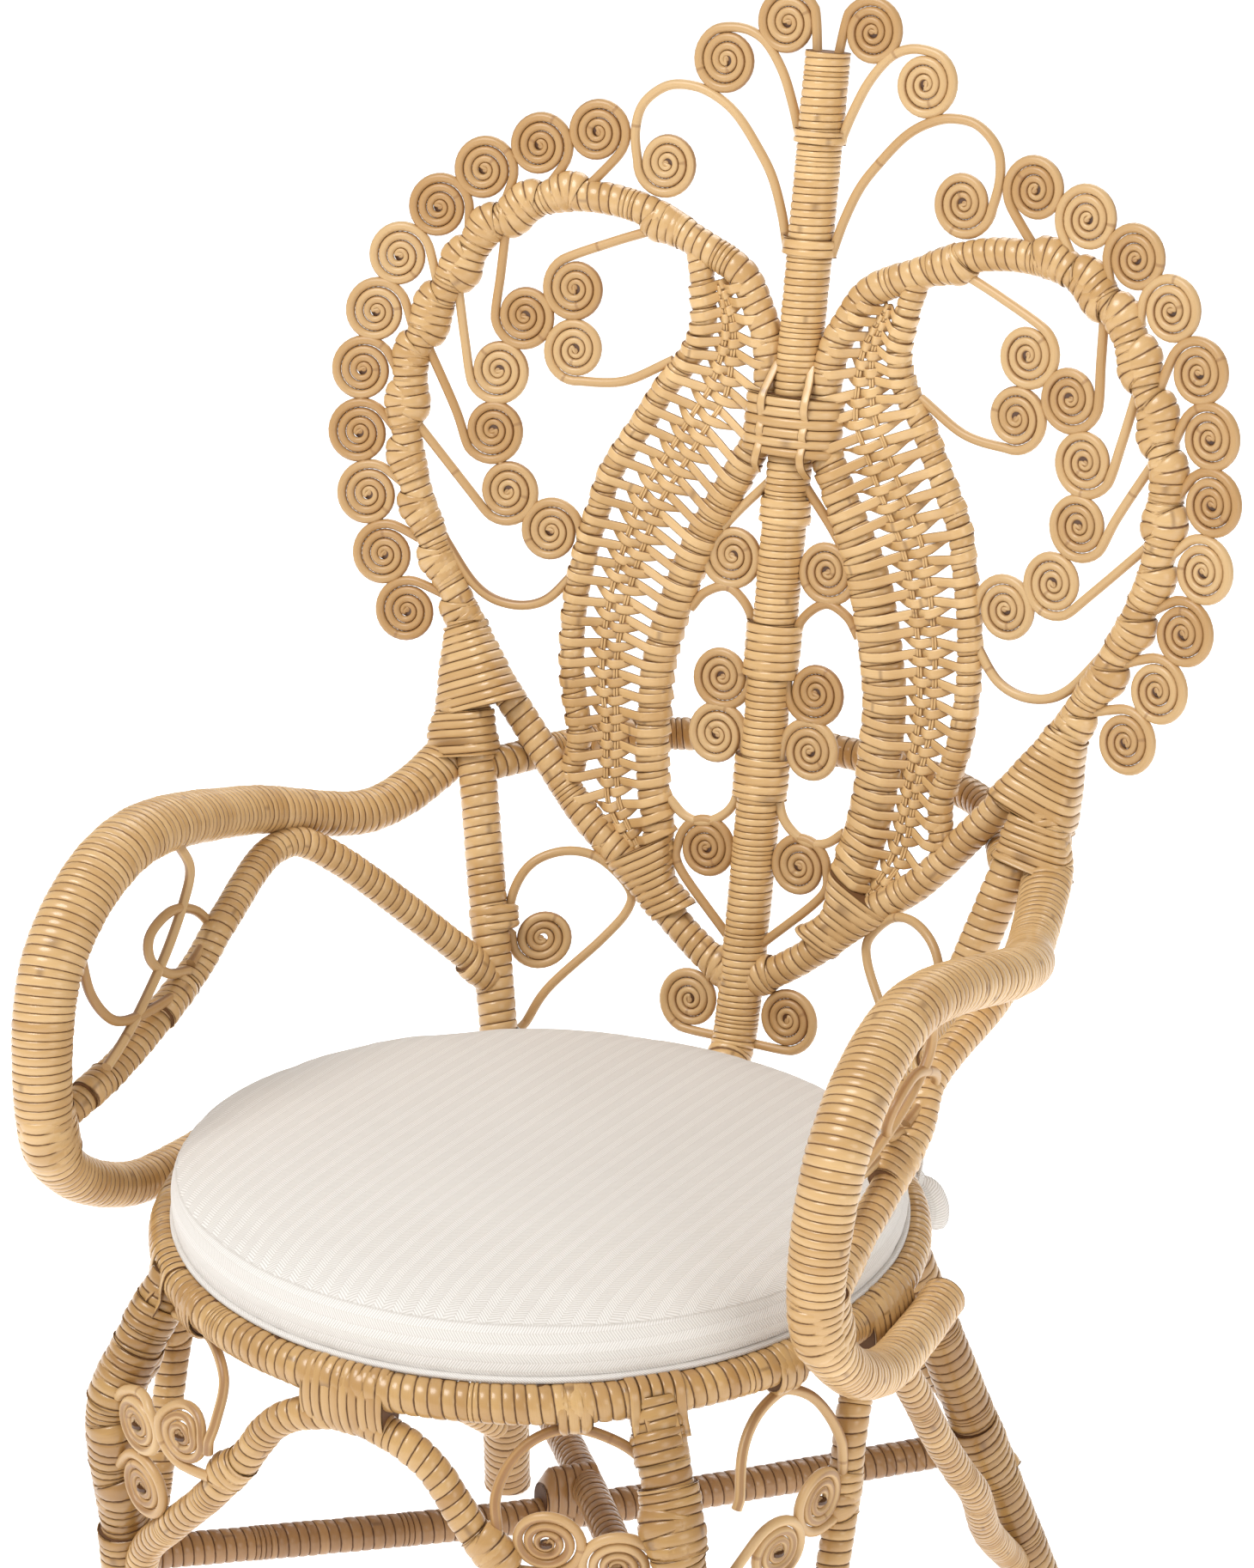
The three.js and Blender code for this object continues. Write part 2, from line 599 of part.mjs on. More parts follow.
// The side scroll lies on a sheet that turns forward from the V to the side post
function onSideSheet(place, side) {
  const point = onBack(0, place.y);
  point.x = side * place.x;
  point.y -= sideSheetSlope * (place.x - sideSheetStartShare * sideReach);
  return point;
}
for (const [hand, side] of Object.entries(sides)) {
  const scroll = { centre: sidePlace(sideScrollShares.centre), exit: 0, sense: 1 };
  const flatLine = scrollWithStem(scroll, sideScrollShares.route.map(sidePlace), 9);
  const line = [...flatLine.map((place) => onSideSheet(place, side)), sidePostPoint(side, 0)];
  addSticks(`side_scroll_${hand}`, "cane", [cane(line, frontwards)]);
}

// Bent canes between arm and bracket: share of the seat radius backwards, share of armRise
const armCaneShares = [
  [
    [-0.008, 0.911], [0.056, 0.848], [0.06, 0.781], [-0.06, 0.624], [-0.168, 0.511], [-0.276, 0.447],
    [-0.376, 0.39],
  ],
  [[-0.47, 0.75], [-0.424, 0.629], [-0.336, 0.527], [-0.224, 0.473], [-0.084, 0.464], [0.02, 0.5]],
  [
    [0.128, 0.6], [0.148, 0.629], [0.08, 0.696], [-0.016, 0.734], [-0.12, 0.713], [-0.144, 0.637],
    [-0.08, 0.561], [0.02, 0.527], [0.09, 0.536],
  ],
];
for (const [hand, side] of Object.entries(sides)) {
  const canes = armCaneShares.map((shares) => {
    const line = shares.map((place) => besideSeat(side, [armCaneOutShare, ...place]));
    return cane(spaced(line, 9), sidewards);
  });
  addSticks(`arm_scroll_${hand}`, "cane", canes);
}

// Bays under the seat ring, one each side of each leg: a bent cane tied up under the ring, and two scrolls

// Share of the bay from the arch to the leg, share of the bay cane's height
const bayCaneShares = [
  [0, 0.84], [0.01, 0.898], [0.08, 0.95], [0.22, 0.985], [0.45, 1], [0.68, 0.975], [0.85, 0.925],
  [0.97, 0.87], [1.02, 0.82],
];
const bayScrollRiseShare = 0.807;
const bayReachShares = [1.06, 1.14];
const bayTop = seatHeight - ringRadius - caneRadius + seatIn;

// Angles round the seat where a bay starts at an arch and ends at a leg
const bayAngles = {
  front: [-67.5, -43],
  side: [-14, -40],
};

// A bay's flat measure, along the ring from the arch and up, laid round the seat
function onBay([archAngle, legAngle], place) {
  const share = (place.x / seatRadius / radians(1)) / Math.abs(legAngle - archAngle);
  return roundSeat(mix(archAngle, legAngle, share), mix(...bayReachShares, share), place.y);
}

function bayPieces(angles, side) {
  const across = radians(Math.abs(angles[1] - angles[0])) * seatRadius;
  const lay = (places) => places.map((place) => onBay(angles, place).multiply(vector(side, 1, 1)));
  const canePlaces = bayCaneShares.map(([share, rise]) => new THREE.Vector2(share * across, rise * bayTop));
  const upper = new THREE.Vector2(scrollRadius + caneRadius - seatIn, bayScrollRiseShare * bayTop);
  const lower = upper.clone().add(polar(2 * scrollRadius + seatIn, -radians(bayScrollFall)));
  const archFoot = new THREE.Vector2(-archRadius, upper.y - scrollRadius);
  const legFoot = new THREE.Vector2(across, lower.y - scrollRadius);
  const scrolls = [
    { centre: upper, exit: -100, sense: -1, route: [archFoot] },
    { centre: lower, exit: 40, sense: -1, route: [legFoot] },
  ];
  return [
    cane(lay(flatSpaced(canePlaces, 8)), upwards),
    ...scrolls.map((scroll) => cane(lay(scrollWithStem(scroll, scroll.route, 1)), upwards)),
    peg(lay(pegPlaces(...scrolls)), upwards),
  ];
}
for (const [hand, side] of Object.entries(sides))
  for (const [place, angles] of Object.entries(bayAngles))
    addSticks(`apron_scrolls_${place}_${hand}`, "cane", bayPieces(angles, side));

// Woven panels: strips from rail to rail, held by two lengthwise stakes

const panelInnerShares = [...heartShares.slice(17), ...innerRailShares];
const stakeShares = [0.36, 0.64];
const panelOuter = new THREE.SplineCurve(outerRailShares.map(heartPlace));
const panelInner = new THREE.SplineCurve(panelInnerShares.map(heartPlace));

// One open lattice from the top strip to the lowest. Each strip has an upper and a lower edge, and each edge
// has its places from the outer rail to the inner one, two of them at each stake.
function panelLattice(side, grow) {
  const half = stripHalfThickness + grow;
  const length = panelOuter.getLength();
  const positions = [];
  const faces = [];
  const columns = stakeShares.length * 2 + 2;
  const addEdge = (along) => {
    const start = panelOuter.getPointAt(along);
    const end = panelInner.getPointAt(along);
    const stakeHalf = (stakeRadius + grow) / start.distanceTo(end);
    const shares = [0, ...stakeShares.flatMap((share) => [share - stakeHalf, share + stakeHalf]), 1];
    for (const layer of [-half, half])
      for (const share of shares) {
        const place = start.clone().lerp(end, share);
        positions.push(...onBack(side * place.x, place.y).add(vector(0, layer, 0)).toArray());
      }
  };
  for (let strip = 1; strip <= panelStrips; strip += 1)
    for (const edge of [-1, 1])
      addEdge(strip / (panelStrips + 1) + (edge * (stripHalfWidth + grow)) / length);
  const at = (edge, layer, column) => (2 * edge + layer) * columns + column;
  const quad = (a, b, c, d) => faces.push(...(side > 0 ? [a, b, c, a, c, d] : [a, c, b, a, d, c]));
  const sheets = (edge, column) => {
    quad(at(edge, 0, column), at(edge, 0, column + 1), at(edge + 1, 0, column + 1), at(edge + 1, 0, column));
    quad(at(edge, 1, column), at(edge + 1, 1, column), at(edge + 1, 1, column + 1), at(edge, 1, column + 1));
  };
  const wall = (edgeA, columnA, edgeB, columnB) =>
    quad(at(edgeA, 0, columnA), at(edgeB, 0, columnB), at(edgeB, 1, columnB), at(edgeA, 1, columnA));
  const lastEdge = 2 * panelStrips - 1;
  for (let edge = 0; edge <= lastEdge; edge += 2) {
    for (let column = 0; column < columns - 1; column += 1) {
      const onStake = column % 2 === 1;
      sheets(edge, column);
      if (!onStake || edge === 0) wall(edge, column + 1, edge, column);
      if (!onStake || edge + 1 === lastEdge) wall(edge + 1, column, edge + 1, column + 1);
      if (onStake && edge + 1 < lastEdge) {
        sheets(edge + 1, column);
        wall(edge + 1, column, edge + 2, column);
        wall(edge + 2, column + 1, edge + 1, column + 1);
      }
    }
    wall(edge, 0, edge + 1, 0);
    wall(edge + 1, columns - 1, edge, columns - 1);
  }
  return solidFrom(new Float32Array(positions), new Uint32Array(faces));
}
for (const [hand, side] of Object.entries(sides))
  addPiece(`panel_weave_${hand}`, "cane", (grow) => panelLattice(side, grow));

// Deck of rods under the cushion, on two cross bars, and the cushion with its ties

// A rod across the seat ring at an offset from its middle, laid along a direction
function deckRod(offset, height, along) {
  const half = along.clone().multiplyScalar(Math.sqrt(seatRadius ** 2 - offset ** 2));
  const middle = upwards.clone().cross(along).multiplyScalar(offset).setZ(height);
  const ends = [middle.clone().sub(half), middle.clone().add(half)];
  return stick(ends, upwards, round(deckRodRadius), deckRodCorners);
}
const deckHeight = ringTop - deckRodRadius;
const barHeight = deckHeight - 2 * deckRodRadius + seatIn;
const rodsPerSide = Math.floor((seatRadius - ringRadius) / deckRodPitch);
const rodNumbers = Array.from({ length: 2 * rodsPerSide + 1 }, (_, i) => i - rodsPerSide);
addSticks("seat_deck", "darkWrap", [
  ...rodNumbers.map((number) => deckRod(number * deckRodPitch, deckHeight, frontwards)),
  ...Object.values(sides).map((side) => deckRod(side * deckBarSpread, barHeight, sidewards)),
]);

// Share of the cushion's radius, share of the crown's height
const crownShares = [[0.85, 0.42], [0.55, 0.85], [0, 1]];

// The cushion's outline from the middle of its underside, round its side, to its crown
function cushionShape() {
  const base = ringTop + clearance;
  const top = base + cushionSide;
  const profile = [
    [0, base],
    [cushionRadius - cushionEdge, base],
    [cushionRadius, base + cushionEdge],
    [cushionRadius + cushionBulge, base + cushionSide / 2],
    [cushionRadius, top - cushionEdge],
    [cushionRadius - cushionEdge, top],
    ...crownShares.map(([reach, rise]) => [reach * cushionRadius, top + rise * cushionCrown]),
  ].map(([reach, height]) => new THREE.Vector2(reach, height));
  const cushion = new THREE.LatheGeometry(profile, cushionSegments);
  cushion.rotateX(Math.PI / 2);
  return cushion;
}
addPiece("cushion", "cotton", () => solidOf(cushionShape()));

// Each tie: a band round the side post, a strap to the cushion, and a bow knotted outside the post
const tieHeightShare = 0.1;
const bandTurns = [30, 75, 125, 180, 235, 285, 330];
const bowOutShare = 0.4;
const bowSideShare = 0.6;
const bowDropShare = 0.6;
const tailSideShare = 0.25;
for (const [hand, side] of Object.entries(sides)) {
  const post = sidePostPoint(side, tieHeightShare);
  const outwards = vector(post.x, post.y, 0).normalize();
  const onwards = vector(-outwards.y, outwards.x, 0);
  const from = (point, out, on, up) =>
    point.clone().addScaledVector(outwards, out).addScaledVector(onwards, on).addScaledVector(upwards, up);
  const reach = sidePostRadius + tieHalfThickness + seatIn;
  const bandHalves = () => [tieHalfWidth, tieHalfThickness];
  const bowHalves = (share) => [mix(knotRadius / 2, bowHalfWidth, Math.sin(Math.PI * share)), knotRadius / 2];
  const band = bandTurns.map((turn) => {
    const { x, y } = polar(reach, radians(turn));
    return from(post, x, y, 0);
  });
  const knot = from(post, reach + knotRadius - seatIn, 0, 0);
  const strapEnd = outwards.clone().multiplyScalar(cushionRadius + cushionBulge + 2 * seatIn).setZ(post.z);
  const bows = [-1, 1].map((sign) => {
    const side = sign * bowSideShare * bowLength;
    const tip = from(knot, bowOutShare * bowLength, side, -bowDropShare * bowLength);
    return stick([knot, knot.clone().lerp(tip, 0.5), tip], upwards, bowHalves, caneCorners);
  });
  const tails = [-1, 1].map((sign) => {
    const tip = from(knot, 0, sign * tailSideShare * tailLength, -tailLength);
    return stick([knot, tip], onwards, bandHalves, caneCorners);
  });
  const knotLine = [from(knot, 0, -knotRadius, 0), from(knot, 0, knotRadius, 0)];
  addSticks(`cushion_tie_${hand}`, "cotton", [
    stick(band, upwards, bandHalves, caneCorners),
    stick([from(post, -reach, 0, 0), strapEnd], upwards, bandHalves, caneCorners),
    stick(knotLine, upwards, round(knotRadius)),
    ...bows,
    ...tails,
  ]);
}

console.log(`least gap between the turns of a scroll: ${leastTurnGap().toFixed(2)} mm`);

// The origin goes under the middle of the outline
const middle = new THREE.Box3().setFromObject(chair).getCenter(vector(0, 0, 0));
chair.position.set(-middle.x, -middle.y, 0);

export default chair;
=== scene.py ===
"""Looks of a peacock chair: wound rattan poles, bent-cane scrollwork, woven panels and a tied seat cushion.

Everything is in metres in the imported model's frame: +Z up, the chair faces -Y, and its left side is -X. Lines and
places are worked out in the chair's own plan, whose seat ring stands round the Z axis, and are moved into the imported
frame when a piece is made.
"""

from __future__ import annotations

import logging
import math
from collections.abc import Callable, Iterable, Sequence
from dataclasses import dataclass, field
from enum import Enum

import bpy
import numpy as np
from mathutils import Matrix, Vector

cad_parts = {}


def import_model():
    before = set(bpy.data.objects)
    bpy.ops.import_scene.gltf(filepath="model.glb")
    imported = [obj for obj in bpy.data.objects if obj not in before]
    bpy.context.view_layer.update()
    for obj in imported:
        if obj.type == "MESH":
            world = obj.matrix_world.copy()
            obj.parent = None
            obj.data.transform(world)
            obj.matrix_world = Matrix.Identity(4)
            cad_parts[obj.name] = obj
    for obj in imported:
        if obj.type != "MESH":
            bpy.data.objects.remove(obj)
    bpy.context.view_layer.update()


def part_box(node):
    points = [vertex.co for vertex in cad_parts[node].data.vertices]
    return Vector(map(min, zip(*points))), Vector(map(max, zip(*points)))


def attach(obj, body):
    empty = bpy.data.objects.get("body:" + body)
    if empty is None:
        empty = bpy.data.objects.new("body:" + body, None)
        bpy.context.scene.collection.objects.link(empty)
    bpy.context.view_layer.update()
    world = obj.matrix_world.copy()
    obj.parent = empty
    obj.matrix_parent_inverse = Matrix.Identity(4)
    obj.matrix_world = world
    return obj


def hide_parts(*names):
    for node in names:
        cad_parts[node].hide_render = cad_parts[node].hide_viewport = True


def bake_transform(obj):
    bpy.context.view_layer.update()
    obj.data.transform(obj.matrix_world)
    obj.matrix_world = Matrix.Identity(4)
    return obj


log = logging.getLogger("peacock_chair")

Place = Sequence[float]
Line = np.ndarray
Ends = list[tuple[np.ndarray, np.ndarray]]
Colour = tuple[float, float, float, float]
Halves = Callable[[np.ndarray], tuple[np.ndarray, np.ndarray]]
Sheet = Callable[[float, float], np.ndarray]

UPWARDS = (0.0, 0.0, 1.0)
FRONTWARDS = (0.0, -1.0, 0.0)
SIDEWARDS = (1.0, 0.0, 0.0)
TURN = 2 * math.pi
FINE_STEP = 0.0015
CANE_STEP = 0.003
STRIP_TURN = 0.08
STRIP_INSIDE = (0.02, 0.98)
STRIP_COLUMNS = 8
STRIP_SQUARENESS = 0.6
ROD_COLUMNS = 12
STEPS_BETWEEN_POINTS = 24
LEAST_SPREAD = 1e-9
SEED = 20


class Hand(Enum):
    """A side of the chair, with its sign along X."""

    LEFT = -1
    RIGHT = 1

    @property
    def word(self) -> str:
        """The side's name in lower case."""
        return self.name.lower()


class Body(Enum):
    """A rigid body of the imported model."""

    FRAME = "frame"
    CUSHION = "cushion"


# Lines


def run_lengths(line: Line) -> np.ndarray:
    """Distance along a line at each of its places.

    Args:
        line: Places in order, one a row.

    Returns:
        The running length, starting at zero.
    """
    return np.concatenate([[0.0], np.cumsum(np.linalg.norm(np.diff(line, axis=0), axis=1))])


def even_line(line: Line, step: float) -> Line:
    """A line with its places set at an even step.

    Args:
        line: Places in order.
        step: Wanted distance between places.

    Returns:
        The line with new places.
    """
    run = run_lengths(line)
    count = max(3, round(run[-1] / step) + 1)
    places = np.linspace(0.0, run[-1], count)
    return np.column_stack([np.interp(places, run, line[:, i]) for i in range(line.shape[1])])


def smooth_line(points: Iterable[Place], step: float = FINE_STEP, lead: int = 0) -> Line:
    """A smooth line through points.

    Args:
        points: Places that the line passes through.
        step: Distance between the places of the line.
        lead: How many of the first points only give the line its starting direction.

    Returns:
        The line from the point after the lead to the last point.
    """
    given = np.array([tuple(point) for point in points], float)
    ends = np.vstack([2 * given[0] - given[1], given, 2 * given[-1] - given[-2]])
    share = np.linspace(0.0, 1.0, STEPS_BETWEEN_POINTS, endpoint=False)[:, None]
    pieces = []
    for i in range(lead, len(given) - 1):
        before, start, end, after = ends[i : i + 4]
        bend = 2 * start + (end - before) * share + (2 * before - 5 * start + 4 * end - after) * share**2
        pieces.append(0.5 * (bend + (3 * start - before - 3 * end + after) * share**3))
    return even_line(np.vstack([*pieces, given[-1:]]), step)


def frames(line: Line, facing: Place) -> tuple[np.ndarray, np.ndarray, np.ndarray]:
    """Directions that travel along a line without twisting.

    Args:
        line: Places in order.
        facing: Direction that the first axis starts towards.

    Returns:
        Tangents, first axes and second axes, one a row.
    """
    tangents = np.gradient(line, axis=0)
    tangents /= np.linalg.norm(tangents, axis=1)[:, None]
    axis = np.array(facing, float)
    firsts = np.empty_like(line)
    for i, along in enumerate(tangents):
        axis = axis - along * float(axis @ along)
        axis /= np.linalg.norm(axis)
        firsts[i] = axis
    return tangents, firsts, np.cross(tangents, firsts)


def unit(vector: Place) -> np.ndarray:
    """A vector's direction, with length 1."""
    return np.asarray(vector) / np.linalg.norm(vector)


def raised(height: float) -> np.ndarray:
    """A step straight up."""
    return np.array([0, 0, height])


def round_axes(place: np.ndarray) -> tuple[np.ndarray, np.ndarray]:
    """Level directions away from and round the Z axis at a place."""
    out = unit(place * np.array([1, 1, 0]))
    return out, np.array([-out[1], out[0], 0])


def nearest_index(line: Line, place: Place) -> int:
    """Index of the line's place that is closest to a place."""
    return int(np.argmin(np.linalg.norm(line - np.asarray(place), axis=1)))


def nearest_place(line: Line, place: Place) -> np.ndarray:
    """The line's place that is closest to a place."""
    return line[nearest_index(line, place)]


def at_height(line: Line, height: float) -> np.ndarray:
    """The place of a line at a height."""
    return line[int(np.argmin(np.abs(line[:, 2] - height)))]


def touches(line: Line, place: Place, reach: float) -> bool:
    """Whether a line comes nearer to a place than a reach."""
    return bool(np.linalg.norm(line - place, axis=1).min() < reach)


def steady(half_a: float, half_b: float | None = None) -> Halves:
    """Half-widths that stay the same along a line."""
    second = half_a if half_b is None else half_b
    return lambda share: (np.full_like(share, half_a), np.full_like(share, second))


def tapered(stops: Sequence[float], halves_a: Sequence[float], halves_b: Sequence[float] | None = None) -> Halves:
    """Half-widths that change along a line.

    Args:
        stops: Shares of the length.
        halves_a: First half-width at each stop.
        halves_b: Second half-width at each stop, or the first's where left out.

    Returns:
        A function from shares of the length to both half-widths.
    """
    seconds = halves_a if halves_b is None else halves_b
    return lambda share: (np.interp(share, stops, halves_a), np.interp(share, stops, seconds))


def along_line(line: Line, values: np.ndarray, seconds: np.ndarray | None = None) -> Halves:
    """Half-widths given at the places of a line.

    Args:
        line: The line.
        values: Half-width at each place.
        seconds: Second half-width at each place, or the first's where left out.

    Returns:
        A function from shares of the length to both half-widths.
    """
    run = run_lengths(line)
    return tapered(run / run[-1], values, seconds)


def lay(flat: Line, sheet: Sheet) -> Line:
    """Lays flat places, one a row, on a sheet."""
    return np.array([sheet(u, v) for u, v in flat])


# Meshes


def grid_cells(rows: int, columns: int) -> tuple[np.ndarray, np.ndarray]:
    """Row and column of each cell of a grid."""
    row, column = np.meshgrid(np.arange(rows), np.arange(columns), indexing="ij")
    return row.ravel(), column.ravel()


def tube_faces(row: np.ndarray, column: np.ndarray, count: int) -> np.ndarray:
    """Corner numbers of a tube's cells.

    Args:
        row: Row of each cell.
        column: Column of each cell.
        count: Places round the tube.

    Returns:
        Four corners of each cell.
    """
    low, high, after = row * count, (row + 1) * count, (column + 1) % count
    return np.column_stack([low + column, low + after, high + after, high + column])


def cell_marks(left: np.ndarray, right: np.ndarray, low: np.ndarray, high: np.ndarray) -> np.ndarray:
    """Marks of the four corners of each cell, from the marks at its sides and ends."""
    corners = ((left, low), (right, low), (right, high), (left, high))
    return np.stack([np.column_stack(corner) for corner in corners], axis=1)


class Shape:
    """Mesh data of one piece, gathered from several closed bodies."""

    def __init__(self) -> None:
        """Starts with nothing in it."""
        self.places: list[np.ndarray] = []
        self.faces: list[np.ndarray] = []
        self.marks: list[np.ndarray] = []
        self.tones: list[np.ndarray] = []
        self.count = 0

    def add(self, places: np.ndarray, faces: np.ndarray, marks: np.ndarray, tone: float) -> None:
        """Adds places and faces.

        Args:
            places: Corner places, one a row.
            faces: Corner numbers of each face, within these places.
            marks: Winding marks of each face's corners.
            tone: The body's own shade, from 0 to 1.
        """
        self.places.append(places)
        self.faces.append(faces + self.count)
        self.marks.append(marks)
        self.tones.append(np.full(len(places), tone))
        self.count += len(places)

    def disc(self, ring: np.ndarray, tone: float, flip: bool) -> None:
        """Closes an end with a disc.

        Args:
            ring: Places round the end.
            tone: The body's own shade.
            flip: True for the disc at the start of a line.
        """
        count = len(ring)
        places = np.vstack([ring, ring.mean(axis=0)])
        rim = np.arange(count)
        after = (rim + 1) % count
        hub = np.full(count, count)
        faces = np.column_stack([after, rim, hub] if flip else [rim, after, hub])
        self.add(places, faces, np.zeros((count, 3, 2)), tone)

    def stand_on_floor(self) -> None:
        """Cuts the feet level with the floor."""
        for places in self.places:
            places[:, 2] = np.maximum(places[:, 2], 0.0)

    def mesh(self, name: str, shift: Place) -> bpy.types.Mesh:
        """The gathered data as a Blender mesh.

        Args:
            name: The mesh's name.
            shift: Added to every place.

        Returns:
            The mesh, with its winding marks as a UV layer and its shades as an attribute.
        """
        mesh = bpy.data.meshes.new(name)
        places = np.vstack(self.places) + np.asarray(shift)
        corners = np.concatenate([face.ravel() for face in self.faces]).astype(np.int32)
        sizes = np.concatenate([np.full(len(face), face.shape[1]) for face in self.faces])
        starts = np.concatenate([[0], np.cumsum(sizes)[:-1]]).astype(np.int32)
        mesh.vertices.add(len(places))
        mesh.vertices.foreach_set("co", places.astype(np.float32).ravel())
        mesh.loops.add(len(corners))
        mesh.loops.foreach_set("vertex_index", corners)
        mesh.polygons.add(len(starts))
        mesh.polygons.foreach_set("loop_start", starts)
        mesh.polygons.foreach_set("use_smooth", np.ones(len(starts), bool))
        marks = np.concatenate([mark.reshape(-1, 2) for mark in self.marks]).astype(np.float32)
        mesh.uv_layers.new(name="Winding").data.foreach_set("uv", marks.ravel())
        tone = mesh.attributes.new("Tone", "FLOAT", "POINT")
        tone.data.foreach_set("value", np.concatenate(self.tones).astype(np.float32))
        mesh.update(calc_edges=True)
        return mesh


@dataclass(frozen=True)
class Winding:
    """How a flat strip is wound on a pole.

    Attributes:
        pitch: Width of a wide turn.
        fine_pitch: Width of a narrow turn.
        wide_turns: Fewest and most wide turns in a run.
        fine_turns: Fewest and most narrow turns in the run that follows.
        bulge: How far the middle of a strip stands over its edges.
        uneven: How far one turn may stand over the next.
        sunk: How far the strips' edges lie under the pole's own radius.
        columns: Faces round the pole.
        squareness: 1 for an oval section, less for a flatter one with rounded corners.
        level: True where the turns keep to the facing direction, however the pole slants.
    """

    pitch: float = 0.008
    fine_pitch: float = 0.0035
    wide_turns: tuple[int, int] = (6, 14)
    fine_turns: tuple[int, int] = (0, 0)
    bulge: float = 0.0007
    uneven: float = 0.0005
    sunk: float = 0.0008
    columns: int = 20
    squareness: float = 1.0
    level: bool = False

    wide_spread = (0.85, 1.15)
    fine_spread = (0.8, 1.2)
    across_shares = (0.0, 0.05, 0.22, 0.5, 0.78, 0.95)
    across_lifts = (-1.0, 0.2, 0.8, 1.0, 0.8, 0.2)

    def turn_distances(self, length: float, dice: np.random.Generator) -> np.ndarray:
        """Distance along the pole at the start of each turn.

        Args:
            length: Length of the pole.
            dice: Seeded source of chance.

        Returns:
            Distances from zero to just past the pole's end.
        """
        distances = [0.0]
        while distances[-1] < length:
            for _ in range(int(dice.integers(*self.wide_turns))):
                distances.append(distances[-1] + self.pitch * dice.uniform(*self.wide_spread))
            for _ in range(int(dice.integers(*self.fine_turns)) if self.fine_turns[1] else 0):
                distances.append(distances[-1] + self.fine_pitch * dice.uniform(*self.fine_spread))
        past_end = int(np.argmax(np.array(distances) >= length))
        return np.array(distances[: past_end + 1])


def rounded(turn: np.ndarray, squareness: float) -> tuple[np.ndarray, np.ndarray]:
    """Both coordinates round a section of half-width 1.

    Args:
        turn: Angles in radians.
        squareness: 1 for an oval section, less for a flatter one with rounded corners.

    Returns:
        Coordinates along the first and the second axis.
    """
    wave_a, wave_b = np.cos(turn), np.sin(turn)
    return np.sign(wave_a) * np.abs(wave_a) ** squareness, np.sign(wave_b) * np.abs(wave_b) ** squareness


def wound_pole(
    shape: Shape,
    line: Line,
    facing: Place,
    halves: Halves,
    winding: Winding,
    dice: np.random.Generator,
) -> None:
    """Adds a pole wound closely with a flat strip.

    The rows of faces follow the strip, so that its edges are real grooves. The marks hold the share of a turn, and
    the turn's number with the share across the strip.

    Args:
        shape: Takes the faces.
        line: Middle line of the pole.
        facing: Direction that the section's first axis starts towards.
        halves: Half-widths along the pole.
        winding: How the strip is wound.
        dice: Seeded source of chance.
    """
    _, firsts, seconds = frames(line, facing)
    if winding.level:
        firsts = np.tile(np.asarray(facing) / np.linalg.norm(facing), (len(line), 1))
        seconds = np.cross(line[-1] - line[0], firsts)
        seconds /= np.linalg.norm(seconds, axis=1)[:, None]
    run = run_lengths(line)
    length = run[-1]
    distances = winding.turn_distances(length, dice)
    count = winding.columns
    across = np.array(winding.across_shares)
    rows_a_turn = len(across)
    first_turns = np.arange(-1, len(distances) + 2)
    turns = (first_turns[:, None] + across[None, :]).ravel()
    round_share = np.arange(count) / count
    reached = turns[:, None] + round_share[None, :]
    along = np.clip(np.interp(reached, np.arange(len(distances)), distances), 0.0, length)
    heights = dice.uniform(0.0, winding.uneven, len(first_turns) + 2)
    lift = np.tile(winding.bulge * np.array(winding.across_lifts) - winding.sunk, len(first_turns))[:, None]
    lift = lift + np.interp(np.floor(turns)[:, None] + round_share[None, :] + 1, np.arange(len(heights)), heights)
    half_a, half_b = halves(along / length)

    def at(values: np.ndarray) -> np.ndarray:
        """Values of the line where each corner stands along it."""
        return np.stack([np.interp(along, run, values[:, i]) for i in range(3)], axis=-1)

    wave_a, wave_b = rounded(TURN * round_share, winding.squareness)
    places = at(line) + at(firsts) * wave_a[None, :, None] * (half_a + lift)[..., None]
    places = places + at(seconds) * wave_b[None, :, None] * (half_b + lift)[..., None]
    row, column = grid_cells(len(turns) - rows_a_turn - 1, count)

    def corner(rows: np.ndarray, columns: np.ndarray) -> np.ndarray:
        """Corner numbers, where the column past the last one is the first of the next turn.

        Args:
            rows: Row of each corner.
            columns: Column of each corner.

        Returns:
            The corner numbers.
        """
        past = columns == count
        return np.where(past, (rows + rows_a_turn) * count, rows * count + columns % count)

    faces = np.column_stack(
        [corner(row, column), corner(row, column + 1), corner(row + 1, column + 1), corner(row + 1, column)]
    )
    flat = places.reshape(-1, 3)
    spread = np.cross(flat[faces[:, 2]] - flat[faces[:, 0]], flat[faces[:, 3]] - flat[faces[:, 1]])
    kept = np.linalg.norm(spread, axis=1) > LEAST_SPREAD
    marks = cell_marks(column / count, (column + 1) / count, turns[row], turns[row + 1])
    shape.add(flat, faces[kept], marks[kept], float(dice.uniform()))
    for end, flip in ((0, True), (-1, False)):
        a, b = (half[0] for half in halves(np.array([0.0 if flip else 1.0])))
        rim = line[end] + np.outer(wave_a * a, firsts[end]) + np.outer(wave_b * b, seconds[end])
        shape.disc(rim, 0.5, flip)


